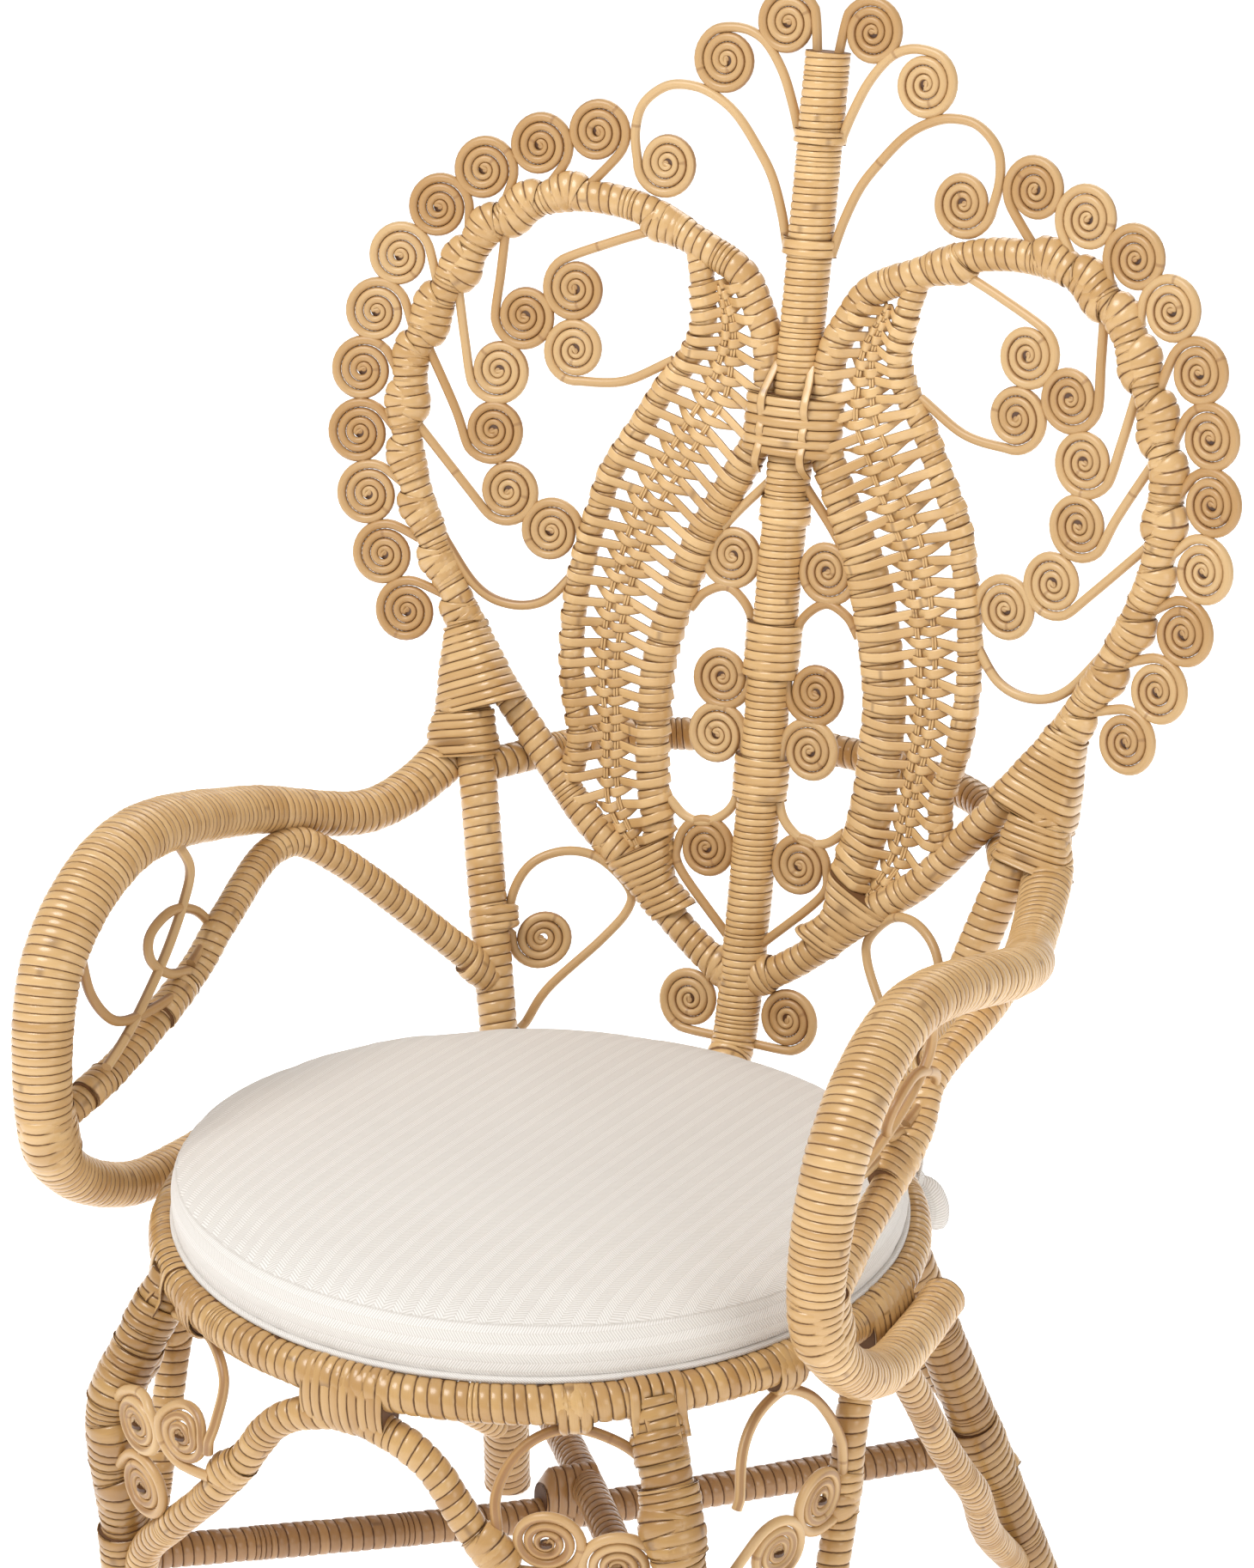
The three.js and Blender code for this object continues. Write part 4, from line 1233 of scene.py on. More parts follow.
@dataclass(frozen=True)
class FloorFinish:
    """Plain pale floor with a little glow, so that shadows stay faint.

    Attributes:
        name: The material's name.
        glow: How strongly it glows.
        light: Colour of most of it.
        haze: Colour of the slightly darker haze.
        roughness: Roughness.
        relief: Depth of the bump.
    """

    name: str
    glow: float
    light: Colour = (0.96, 0.96, 0.96, 1)
    haze: Colour = (0.93, 0.93, 0.93, 1)
    roughness: float = 0.9
    relief: float = 0.0005

    def material(self) -> bpy.types.Material:
        """Makes the procedural material."""
        board = NodeBoard(self.name)
        colour = board.blend(board.noise(board.place(), 0.8, 2.0) * 0.4, self.light, self.haze)
        board.dress(
            self.relief,
            board.noise(board.place(), 60.0, 2.0),
            0.05,
            Base_Color=colour,
            Roughness=self.roughness,
            Emission_Color=(1, 1, 1, 1),
            Emission_Strength=self.glow,
        )
        return board.material


# Pieces

GOLDEN = "golden_wrap"
PALE = "pale_wrap"
AMBER = "amber_wrap"
# The legs' wrap: a darker copy of the amber wrap, painted shade for the legs under the seat.
SHADED_TAWNY = "shaded_tawny_wrap"
BROWN = "brown_wrap"
CANE = "bent_cane"
COTTON = "cushion_cotton"
STRAP = "strap_cotton"
FLOOR = "pale_floor"

POLE_WINDING = Winding(fine_turns=(1, 5))
SIDE_POST_WINDING = Winding(pitch=0.0078, wide_turns=(6, 12), fine_turns=(0, 2))
POST_WINDING = Winding(pitch=0.0052, fine_pitch=0.0034, wide_turns=(5, 12), fine_turns=(1, 4), columns=24)
ARM_WINDING = Winding(pitch=0.0058, wide_turns=(5, 9), columns=24)
RAIL_WINDING = Winding(pitch=0.0066, wide_turns=(5, 9), columns=16)
BINDING_WINDING = Winding(
    pitch=0.0068, wide_turns=(8, 9), bulge=0.0014, uneven=0.0006, sunk=0.0002, columns=48
)
TIE_WINDING = Winding(pitch=0.0068, wide_turns=(2, 5), bulge=0.0008, uneven=0.0009)
BUNDLE_WINDING = Winding(
    pitch=0.0062, wide_turns=(3, 9), bulge=0.001, uneven=0.001, columns=48, squareness=0.62, level=True
)
SLEEVE_WINDING = Winding(pitch=0.0066, wide_turns=(2, 5), bulge=0.0008, uneven=0.001, columns=32)


@dataclass(frozen=True)
class Curl:
    """A cane wound into a scroll, with the stem by which it leaves.

    Attributes:
        centre: Flat place of the scroll's centre.
        leave: Angle where the cane leaves, in degrees from the out direction.
        sense: 1 to wind anticlockwise outwards, seen with the out direction to the right.
        route: Flat places that the stem passes.
    """

    centre: Place
    leave: float
    sense: int
    route: tuple[Place, ...]

    swell_share = 0.35
    swell = 0.0075
    turns = 3.05
    turn_stops = (0.0, 1.0, 2.0, 3.0, 3.3)
    reaches = (0.0197, 0.0131, 0.0072, 0.0031, 0.0026)
    halves = (0.0035, 0.0032, 0.0027, 0.0016, 0.0011)
    eye_turns = (220, 175, 120, 0, -60, -110, -150)
    eye_reaches = (0.0021, 0.0016, 0.0007, 0.0003, 0.0011, 0.0017, 0.0013)
    eye_half = 0.0009
    steps_a_turn = 30
    lead_steps = 3

    def edge(self, direction: float) -> np.ndarray:
        """Flat place of the outermost cane's middle in a direction, in radians."""
        return np.asarray(self.centre) + self.reaches[0] * np.array([math.cos(direction), math.sin(direction)])

    def line(self) -> tuple[Line, np.ndarray]:
        """The flat middle line from the eye to the stem's end.

        Returns:
            The places, and the cane's half-width at each.
        """
        count = round((self.turns + self.swell_share) * self.steps_a_turn)
        left = np.linspace(self.turns + self.swell_share, 0.0, count)
        wound = left - self.swell_share
        reach = np.interp(wound, self.turn_stops, self.reaches) + self.swell * np.clip(-wound, 0.0, None)
        angle = math.radians(self.leave) - self.sense * TURN * left
        spiral = np.asarray(self.centre) + np.column_stack([reach * np.cos(angle), reach * np.sin(angle)])
        stem = smooth_line([spiral[-1 - self.lead_steps], spiral[-1], *self.route], CANE_STEP, lead=1)
        half = np.interp(wound, self.turn_stops, self.halves)
        turned = angle[0] - self.sense * np.radians(np.array(self.eye_turns[::-1]))
        reached = np.array(self.eye_reaches[::-1])
        eye = np.asarray(self.centre) + np.column_stack([reached * np.cos(turned), reached * np.sin(turned)])
        eye = smooth_line([*eye, spiral[0]], FINE_STEP / 2)[:-1]
        eye_half = np.linspace(self.eye_half, half[0], len(eye))
        halves = [eye_half, half, np.full(len(stem) - 1, self.halves[0])]
        return np.vstack([eye, spiral, stem[1:]]), np.concatenate(halves)


@dataclass
class Workshop:
    """Makes finished objects from shapes.

    Attributes:
        plan: The chair's plan.
        finishes: Materials by name.
        dice: Seeded source of chance.
        tie_back: How far a stem's tie begins before the stem's end.
        tie_run: How far it runs on along the pole.
        tie_room: How far it stands off the pole over the stem.
        tie_strip: Thickness of the strips in a tie.
        bundle_steps: Places along a bundle.
        most_slant: Most that a slanting pole widens a bundle.
        slope_steps: Places before and after one from which a pole's direction is read.
    """

    plan: ChairPlan
    finishes: dict[str, bpy.types.Material]
    dice: np.random.Generator
    tie_back: float = 0.003
    tie_run: float = 0.027
    tie_room: float = 0.003
    tie_strip: float = 0.0004
    bundle_steps: int = 40
    most_slant: float = 1.5
    slope_steps: int = 3

    tie_stops = (0, 0.12, 0.88, 1)
    fade_stops = (0, 0.12, 0.3, 0.6, 1)
    fade_shares = (0.3, 0.85, 1.0, 0.5, 0.0)

    def tone(self) -> float:
        """A shade by chance for one body."""
        return float(self.dice.uniform())

    def strip(self, shape: Shape, line: Line, facing: Place, halves: Halves) -> None:
        """Adds a loose strip with the finish of a wound pole.

        Args:
            shape: Takes the faces.
            line: Middle line.
            facing: Direction across the strip.
            halves: Half-widths along the line.
        """
        sweep(shape, line, facing, halves, STRIP_COLUMNS, STRIP_SQUARENESS, self.tone(), turn_marks=True)

    def place(
        self,
        shape: Shape,
        name: str,
        finish: str,
        nodes: Sequence[str],
        slot: str,
        body: Body = Body.FRAME,
    ) -> bpy.types.Object:
        """Makes an object that stands for CAD nodes.

        Args:
            shape: Its faces.
            name: Its name.
            finish: Name of its material.
            nodes: The CAD nodes that it stands for.
            slot: The record's material slot.
            body: The body that it rides.

        Returns:
            The object.
        """
        thing = bpy.data.objects.new(name, shape.mesh(name, self.plan.shift))
        return self.dress(thing, finish, nodes, slot, body)

    def dress(
        self,
        thing: bpy.types.Object,
        finish: str,
        nodes: Sequence[str],
        slot: str,
        body: Body | None = Body.FRAME,
    ) -> bpy.types.Object:
        """Gives an object its material, body and nodes.

        Args:
            thing: The object.
            finish: Name of its material.
            nodes: The CAD nodes that it stands for.
            slot: The record's material slot; not used.
            body: The body that it rides, or None to attach it to no body.

        Returns:
            The object.
        """
        if thing.name not in bpy.context.scene.collection.objects:
            bpy.context.scene.collection.objects.link(thing)
        thing.data.materials.clear()
        thing.data.materials.append(self.finishes[finish])
        if nodes:
            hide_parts(*nodes)
        if body is not None:
            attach(thing, body.value)
        log.info("%s: %d faces, for %s", thing.name, len(thing.data.polygons), ", ".join(nodes) or "no node")
        return thing

    def pole(
        self,
        shape: Shape,
        line: Line,
        halves: Halves | float,
        winding: Winding = POLE_WINDING,
        facing: Place = FRONTWARDS,
    ) -> None:
        """Adds a wound pole with the plan's dice.

        Args:
            shape: Takes the faces.
            line: Middle line.
            halves: Half-widths along the pole, or one radius.
            winding: How the strip is wound.
            facing: Direction that the section's first axis starts towards.
        """
        sized = steady(halves) if isinstance(halves, float) else halves
        wound_pole(shape, line, facing, sized, winding, self.dice)

    def tie(
        self,
        shape: Shape,
        line: Line,
        radius: float,
        place: Place,
        half_length: float = 0.013,
        room: float = 0.0032,
        winding: Winding = TIE_WINDING,
    ) -> None:
        """Adds strips wound round a pole and whatever ends against it.

        Args:
            shape: Takes the faces.
            line: Middle line of the pole.
            radius: The pole's radius.
            place: Where the other piece touches.
            half_length: Half the length of the tie along the pole.
            room: Half of the other piece's thickness.
            winding: How the strip is wound.
        """
        run = run_lengths(line)
        i = nearest_index(line, place)
        held = line[np.abs(run - run[i]) <= half_length]
        along = unit(held[-1] - held[0])
        lean = np.asarray(place) - line[i]
        lean = lean - along * float(lean @ along)
        size = float(np.linalg.norm(lean))
        lean = lean / size if size > room / 2 else np.array(FRONTWARDS)
        snug = radius + self.tie_strip
        wide = tapered(self.tie_stops, (snug, snug + room, snug + room, snug), (snug,) * 4)
        wound_pole(shape, held + lean * room, lean, wide, winding, self.dice)

    def band(
        self,
        shape: Shape,
        line: Line,
        place: Place,
        half_length: float,
        radius: float,
        wider: float,
        facing: Place = SIDEWARDS,
    ) -> None:
        """Adds a band of strips that also holds the canes beside a pole.

        Args:
            shape: Takes the faces.
            line: Middle line of the pole.
            place: Middle of the band.
            half_length: Half of its length along the pole.
            radius: The pole's radius.
            wider: How much further it reaches on both sides.
            facing: Direction in which it is wider.
        """
        run = run_lengths(line)
        held = line[np.abs(run - run[nearest_index(line, place)]) <= half_length]
        snug = radius + self.tie_strip
        wound_pole(shape, held, facing, steady(snug + wider, snug), SLEEVE_WINDING, self.dice)

    def stem_tie(self, shape: Shape, line: Line, radius: float, place: Place, heading: Place) -> None:
        """Adds strips that hold a cane's end along a pole, thick where the cane comes in and fading along it.

        Args:
            shape: Takes the faces.
            line: Middle line of the pole.
            radius: The pole's radius.
            place: The cane's end, near the pole.
            heading: Direction in which the cane runs there.
        """
        run = run_lengths(line)
        i = nearest_index(line, place)
        along = unit(line[min(i + self.slope_steps, len(line) - 1)] - line[max(i - self.slope_steps, 0)])
        onward = 1 if float(np.asarray(heading) @ along) > 0 else -1
        travelled = (run - run[i]) * onward
        held = line[(travelled > -self.tie_back) & (travelled < self.tie_run)][::onward]
        side = -(np.asarray(heading) - along * float(np.asarray(heading) @ along))
        side /= max(float(np.linalg.norm(side)), self.tie_back)
        share = run_lengths(held) / run_lengths(held)[-1]
        thick = self.tie_room * np.interp(share, self.fade_stops, self.fade_shares)
        snug = radius + self.tie_strip
        halves = along_line(held, snug + thick, np.full(len(held), snug))
        wound_pole(shape, held + side * thick[:, None], side, halves, TIE_WINDING, self.dice)

    def bundle(
        self, shape: Shape, poles: Sequence[tuple[Line, float]], across: Place, top: Place, bottom: Place
    ) -> None:
        """Adds strips wound round two poles together.

        Args:
            shape: Takes the faces.
            poles: Middle line and radius of each pole.
            across: Direction of the strips.
            top: A place on the first strip.
            bottom: A place on the last strip.
        """
        across = unit(across)
        down = np.asarray(bottom) - np.asarray(top)
        down = unit(down - across * float(down @ across))
        depth = np.cross(down, across)
        levels = np.linspace(float(top @ down), float(bottom @ down), self.bundle_steps)
        middle, halves = np.outer(levels, down), []
        for axis in (across, depth):
            lows, highs = [], []
            for line, radius in poles:
                order = np.argsort(line @ down)
                place = np.interp(levels, (line @ down)[order], (line @ axis)[order])
                slope = np.gradient(place, levels)
                reach = radius * np.minimum(np.sqrt(1 + slope**2), self.most_slant)
                lows.append(place - reach)
                highs.append(place + reach)
            low, high = np.min(lows, axis=0), np.max(highs, axis=0)
            middle += np.outer((low + high) / 2, axis)
            halves.append((high - low) / 2 + self.tie_strip)
        wound_pole(shape, middle, across, along_line(middle, *halves), BUNDLE_WINDING, self.dice)


@dataclass
class Caning:
    """Bends canes on a sheet and keeps the places where their stems are tied.

    Attributes:
        shop: The workshop.
        sheet: Gives the place of a flat place.
        facing: Direction that faces the viewer of the sheet.
        columns: Faces round a cane.
        peg_radius: Radius of the pegs between scrolls.
        plug_radius: Radius of the plug behind a scroll's eye, a dark piece painted as the gap's shade.
        plug_depth: Length of the plug.
        plug_tone: Tone that gives a plug the painted shade of the gap.
        peg_tone: Shade of the pegs.
        shape: Takes the faces.
        ends: End of each stem, with its heading.
    """

    shop: Workshop
    sheet: Sheet
    facing: Place = FRONTWARDS
    columns: int = 10
    peg_radius: float = 0.0023
    plug_radius: float = 0.0046
    plug_depth: float = 0.0022
    plug_tone: float = 2.0
    peg_tone: float = 0.2
    shape: Shape = field(default_factory=Shape)
    ends: Ends = field(default_factory=list)

    def curl(self, curl: Curl) -> None:
        """Adds a scroll with its stem, and keeps where the stem ends.

        Args:
            curl: The scroll.
        """
        flat, half = curl.line()
        line = lay(flat, self.sheet)
        sweep(self.shape, line, self.facing, along_line(line, half), self.columns, tone=self.shop.tone())
        # A dark plug behind the eye stands in for the shade in the gap there.
        middle = self.sheet(*curl.centre)
        plug = np.linspace(middle - np.asarray(self.facing) * self.plug_depth, middle, 3)
        sweep(self.shape, plug, SIDEWARDS, steady(self.plug_radius), self.columns, tone=self.plug_tone)
        self.ends.append((line[-1], line[-1] - line[-3]))

    def cane(self, points: Iterable[Place], radius: float) -> Line:
        """Adds a bent cane.

        Args:
            points: Flat places that it passes.
            radius: Its radius.

        Returns:
            Its middle line.
        """
        line = lay(smooth_line(points, CANE_STEP), self.sheet)
        sweep(self.shape, line, self.facing, steady(radius), self.columns, tone=self.shop.tone())
        return line

    def peg(self, first: Curl, second: Curl) -> None:
        """Adds a peg that joins two scrolls.

        Args:
            first: One scroll.
            second: The other.
        """
        reach = np.asarray(second.centre) - np.asarray(first.centre)
        direction = math.atan2(reach[1], reach[0])
        ends = np.array([first.edge(direction), second.edge(direction + math.pi)])
        line = lay(np.linspace(*ends, 4), self.sheet)
        sweep(self.shape, line, self.facing, steady(self.peg_radius), self.columns, tone=self.peg_tone)

    def chain(self, curls: Sequence[Curl]) -> None:
        """Adds scrolls, each joined to the next by a peg.

        Args:
            curls: The scrolls in order.
        """
        for curl in curls:
            self.curl(curl)
        for first, second in zip(curls, curls[1:]):
            self.peg(first, second)


@dataclass
class Scrollwork:
    """The scrollwork of the back, from the outer chain to the foot of the post."""

    chain_exit_turn: float = 50.0
    stem_run: float = 0.01
    rail_gap: float = 0.0005

    chain_shares = (
        (0.573, 1.083), (0.717, 1.059), (0.853, 1.022), (0.959, 0.969), (1.048, 0.902), (1.096, 0.827),
        (1.119, 0.749), (1.116, 0.666), (1.082, 0.585), (1.031, 0.507), (0.962, 0.434),
    )  # fmt: skip
    inner_shares = (
        ((0.597, 0.88), 60, 1, ((0.51, 0.945), (0.423, 0.963))),
        ((0.584, 0.801), -105, -1, ((0.45, 0.768), (0.328, 0.803))),
        ((0.72, 0.838), -10, 1, ((0.79, 0.89), (0.785, 0.96))),
        ((0.775, 0.764), -30, 1, ((0.868, 0.8), (0.9, 0.88))),
        ((0.778, 0.685), -40, 1, ((0.88, 0.71), (0.985, 0.81))),
        ((0.727, 0.607), -60, 1, ((0.83, 0.605), (1, 0.7))),
        ((0.608, 0.561), 165, 1, ((0.52, 0.515),)),
    )
    lobe_cane_shares = ((0.894, 0.545), (0.792, 0.478), (0.7, 0.458), (0.608, 0.469), (0.53, 0.515))
    crest_shares = {
        "low": (
            (0.389, 1.052),
            0,
            1,
            (
                (0.477, 1.09), (0.462, 1.125), (0.405, 1.15), (0.334, 1.153), (0.272, 1.142), (0.218, 1.122),
                (0.163, 1.088), (0.116, 1.052), (0.082, 1.008), (0.058, 0.963),
            ),
        ),
        "mid": (
            (0.259, 1.19),
            60,
            1,
            ((0.249, 1.232), (0.2, 1.229), (0.157, 1.215), (0.112, 1.183), (0.078, 1.143), (0.055, 1.108)),
        ),
        "top": ((0.11, 1.245), 150, 1, ((0.02, 1.18),)),
    }
    centre_shares = (
        (0.563, 0, 1, ((0.135, 0.614), (0.05, 0.665))),
        (0.404, 180, -1, ((0.05, 0.455), (0.072, 0.496), (0.13, 0.521), (0.19, 0.51), (0.226, 0.486))),
        (0.327, 180, 1, ((0.05, 0.282), (0.07, 0.235), (0.13, 0.21), (0.19, 0.212), (0.238, 0.232))),
        (0.175, 0, -1, ((0.19, 0.14), (0.04, 0.06))),
    )
    foot_shares = ((0.133, -0.03), -75, -1, ((0.04, -0.072),))
    pegged = {"post": ((1, 2),)}
    single_names = {"post": ("post_scrollwork", "centre_scrolls"), "foot": ("foot_scrollwork", "foot_scroll")}

    def curl_from(self, plan: ChairPlan, shares: tuple) -> Curl:
        """A scroll from shares of the heart."""
        centre, leave, sense, route = shares
        return Curl(plan.flat_heart(centre), leave, sense, tuple(plan.flat_heart(place) for place in route))

    def chain(self, plan: ChairPlan) -> list[Curl]:
        """The outer chain, whose stems run in to the nearest place on the heart frame.

        Args:
            plan: The chair's plan.

        Returns:
            Its scrolls, from the top.
        """
        frame = smooth_line([plan.flat_heart(share) for share in HEART_SHARES])
        curls = []
        for share in self.chain_shares:
            centre = plan.flat_heart(share)
            nearest = nearest_place(frame, centre)
            inwards = math.atan2(*(nearest - centre)[::-1])
            onward = self.stem_run * np.array([-math.sin(inwards), math.cos(inwards)])
            leave = math.degrees(inwards) - self.chain_exit_turn
            curls.append(Curl(centre, leave, 1, (nearest + onward,)))
        return curls

    def build(self, shop: Workshop, hand: Hand) -> Ends:
        """Makes one side's scrollwork.

        Args:
            shop: The workshop.
            hand: The side.

        Returns:
            The places where stems are tied to the frame, each with its heading.
        """
        plan = shop.plan
        ends: Ends = []

        def on_sheet(x: float, z: float) -> np.ndarray:
            """The place on the back's own side of a flat place."""
            return plan.on_back(hand.value * x, z)

        def finish(work: Caning, name: str, node: str) -> None:
            """Places one piece and keeps its stems' ends.

            Args:
                work: Its canes.
                name: Its name, without the side.
                node: The CAD node's name, without the side.
            """
            shop.place(work.shape, f"{name}_{hand.word}", CANE, [f"{node}_{hand.word}"], "cane")
            ends.extend(work.ends)

        lobe = [self.curl_from(plan, shares) for shares in self.inner_shares]
        chains = (("outer_scrollwork", "outer_scrolls", self.chain(plan)), ("lobe_scrollwork", "inner_scrolls", lobe))
        for name, node, curls in chains:
            work = Caning(shop, on_sheet)
            work.chain(curls)
            finish(work, name, node)
        hanging = Caning(shop, on_sheet)
        hanging.cane([plan.flat_heart(share) for share in self.lobe_cane_shares], plan.cane_radius)
        finish(hanging, "hanging_cane", "lobe_cane")
        beside = (plan.beside_post - self.rail_gap) / plan.heart_half_width
        singles = {place: [shares] for place, shares in self.crest_shares.items()}
        singles["post"] = [((beside, rise), *rest) for rise, *rest in self.centre_shares]
        singles["foot"] = [self.foot_shares]
        for place, rows in singles.items():
            work = Caning(shop, on_sheet)
            curls = [self.curl_from(plan, shares) for shares in rows]
            for curl in curls:
                work.curl(curl)
            for first, second in self.pegged.get(place, ()):
                work.peg(curls[first], curls[second])
            finish(work, *self.single_names.get(place, (f"crest_{place}", f"crest_scroll_{place}")))
        return ends


@dataclass
class SideScroll:
    """The scroll between the V of the heart frame and a side post."""

    tone: float = 0.4

    squeeze = (0.86, 0.95)
    centre_share = (0.946, 0.033)
    route_shares = (
        (1.079, 0.094), (1.01, 0.135), (0.876, 0.151), (0.737, 0.14), (0.61, 0.1), (0.61, 0.07),
        (0.705, 0.03), (0.902, -0.035), (0.984, -0.083),
    )  # fmt: skip

    def build(self, shop: Workshop, hand: Hand) -> None:
        """Makes the scroll on one side.

        Args:
            shop: The workshop.
            hand: The side.
        """
        plan = shop.plan
        reach = plan.side_post_point(1, 0)[0]

        def flat(share: Place) -> np.ndarray:
            """The flat place of shares of the side post's reach and the heart's height."""
            return np.array([share[0] * reach, plan.heart_foot + share[1] * plan.heart_height])

        def on_sheet(x: float, z: float) -> np.ndarray:
            """The place on the side's sheet of a flat place."""
            return plan.on_side_sheet((x, z), hand.value)

        curl = Curl(flat(self.centre_share), 0, 1, tuple(flat(share) for share in self.route_shares))
        flat_line, half = curl.line()
        middle = np.asarray(curl.centre)
        near = np.linalg.norm(flat_line - middle, axis=1) < curl.reaches[0] + plan.cane_radius
        flat_line[near] = middle + (flat_line[near] - middle) * self.squeeze
        line = lay(flat_line, on_sheet)
        tail = smooth_line([line[-3], line[-1], plan.side_post_point(hand.value, 0)], CANE_STEP, lead=1)
        line = np.vstack([line, tail[1:]])
        half = np.concatenate([half, np.full(len(tail) - 1, half[-1])])
        shape = Shape()
        sweep(shape, line, FRONTWARDS, along_line(line, half), tone=self.tone)
        shop.place(shape, f"side_scrollwork_{hand.word}", CANE, [f"side_scroll_{hand.word}"], "cane")


@dataclass
class ArmCanes:
    """The bent canes between an arm and its bracket."""

    out_shares: tuple[float, float] = (0.25, 0.72)
    rises: tuple[float, float] = (0.45, 0.7)

    cane_shares = (
        (
            (-0.008, 0.94), (0.049, 0.84), (0.013, 0.749), (-0.113, 0.64), (-0.286, 0.547), (-0.401, 0.496),
            (-0.497, 0.462),
        ),
        ((-0.49, 0.78), (-0.47, 0.665), (-0.431, 0.582), (-0.364, 0.543), (-0.237, 0.527), (-0.114, 0.524)),
        (
            (-0.02, 0.575), (0.032, 0.594), (0.108, 0.628), (0.07, 0.697), (-0.048, 0.744), (-0.157, 0.714),
            (-0.184, 0.65), (-0.128, 0.588), (-0.043, 0.562),
        ),
    )  # fmt: skip

    def points(self, plan: ChairPlan, hand: Hand, shares: Sequence[Place]) -> list[np.ndarray]:
        """Places that one cane passes.

        Args:
            plan: The chair's plan.
            hand: The side.
            shares: The cane's reach and rise beside the seat, as shares.

        Returns:
            The places.
        """
        outs = np.interp([rise for _, rise in shares], self.rises, self.out_shares)
        return [plan.beside_seat(hand.value, (out, *share)) for out, share in zip(outs, shares)]

    def build(self, shop: Workshop, hand: Hand) -> None:
        """Makes one side's canes.

        Args:
            shop: The workshop.
            hand: The side.
        """
        plan = shop.plan
        shape = Shape()
        for shares in self.cane_shares:
            line = smooth_line(self.points(plan, hand, shares), CANE_STEP)
            sweep(shape, line, SIDEWARDS, steady(plan.cane_radius), ROD_COLUMNS, tone=shop.tone())
        shop.place(shape, f"arm_canes_{hand.word}", CANE, [f"arm_scroll_{hand.word}"], "cane")


@dataclass
class Apron:
    """The bent canes and scrolls in the bays under the seat ring."""

    bend_share: float = 0.12

    bay_angles = {"front": (-67.5, -43.0), "side": (-14.0, -40.0)}
    cane_shares = {
        ("front", Hand.LEFT): (
            (0.01, 0.858), (0, 0.91), (0.055, 0.966), (0.296, 0.998), (0.616, 0.994), (0.88, 0.978),
            (0.97, 0.953), (0.956, 0.918),
        ),
        ("front", Hand.RIGHT): (
            (0.009, 0.851), (0, 0.902), (0.083, 0.951), (0.236, 0.985), (0.452, 0.996), (0.692, 0.976),
            (0.844, 0.947), (0.925, 0.913), (0.985, 0.879),
        ),
        ("side", None): (
            (0, 0.82), (0.004, 0.866), (0.05, 0.915), (0.16, 0.962), (0.315, 0.988), (0.44, 0.987),
            (0.6, 0.967), (0.725, 0.93), (0.82, 0.865),
        ),
    }  # fmt: skip
    curl_shares = {
        ("front", Hand.LEFT): ((0.21, 0.868), (0.595, 0.842), (0.57, 0.738)),
        ("front", Hand.RIGHT): ((0.28, 0.837), (0.65, 0.8), (0.77, 0.7)),
        ("side", None): ((0.215, 0.812), (0.55, 0.766)),
    }
    top_shares = {"front": 0.45, "side": 0.36}
    reach_shares = {("front", Hand.LEFT): (1.1, 1.2)}
    arch_leave: float = -100.0
    leg_leave: float = 40.0

    def build(self, shop: Workshop, hand: Hand) -> tuple[Ends, list[np.ndarray]]:
        """Makes the bays beside one front leg.

        Args:
            shop: The workshop.
            hand: The side.

        Returns:
            The places where canes are tied to a leg or an arch, each with its heading, and the places where
            they are tied to the ring.
        """
        plan = shop.plan
        top = plan.seat_height - plan.ring_radius - plan.cane_radius + plan.seat_in
        stems, tops = [], []
        for place, (arch_angle, leg_angle) in self.bay_angles.items():
            across = math.radians(abs(leg_angle - arch_angle)) * plan.seat_radius

            def on_bay(x: float, z: float) -> np.ndarray:
                """A place on the bay's sheet, which bends in under the ring.

                Args:
                    x: Distance along the ring from the arch.
                    z: Height.

                Returns:
                    The place.
                """
                share = x / across
                near, far = self.reach_shares.get((place, hand), plan.bay_reach_shares)
                bend = min(1.0, max(0.0, (1 - z / top) / self.bend_share))
                reach = 1 + (near + (far - near) * share - 1) * bend
                angle = arch_angle + (leg_angle - arch_angle) * share
                return plan.round_seat(angle, reach, z) * np.array([hand.value, 1, 1])

            table = (place, hand if place == "front" else None)
            work = Caning(shop, on_bay, UPWARDS)
            cane = work.cane([(x * across, z * top) for x, z in self.cane_shares[table]], plan.cane_radius)
            curls = []
            for x, z in self.curl_shares[table]:
                first = not curls
                foot = np.array([0 if first else across, z * top - plan.scroll_radius])
                leave = self.arch_leave if first else self.leg_leave
                curls.append(Curl(np.array([x * across, z * top]), leave, -1, (foot,)))
            work.chain(curls)
            node = f"apron_scrolls_{place}_{hand.word}"
            shop.place(work.shape, f"bay_scrollwork_{place}_{hand.word}", CANE, [node], "cane")
            stems += [*work.ends, (cane[0], cane[0] - cane[2]), (cane[-1], cane[-1] - cane[-3])]
            tops.append(on_bay(self.top_shares[place] * across, top))
        return stems, tops


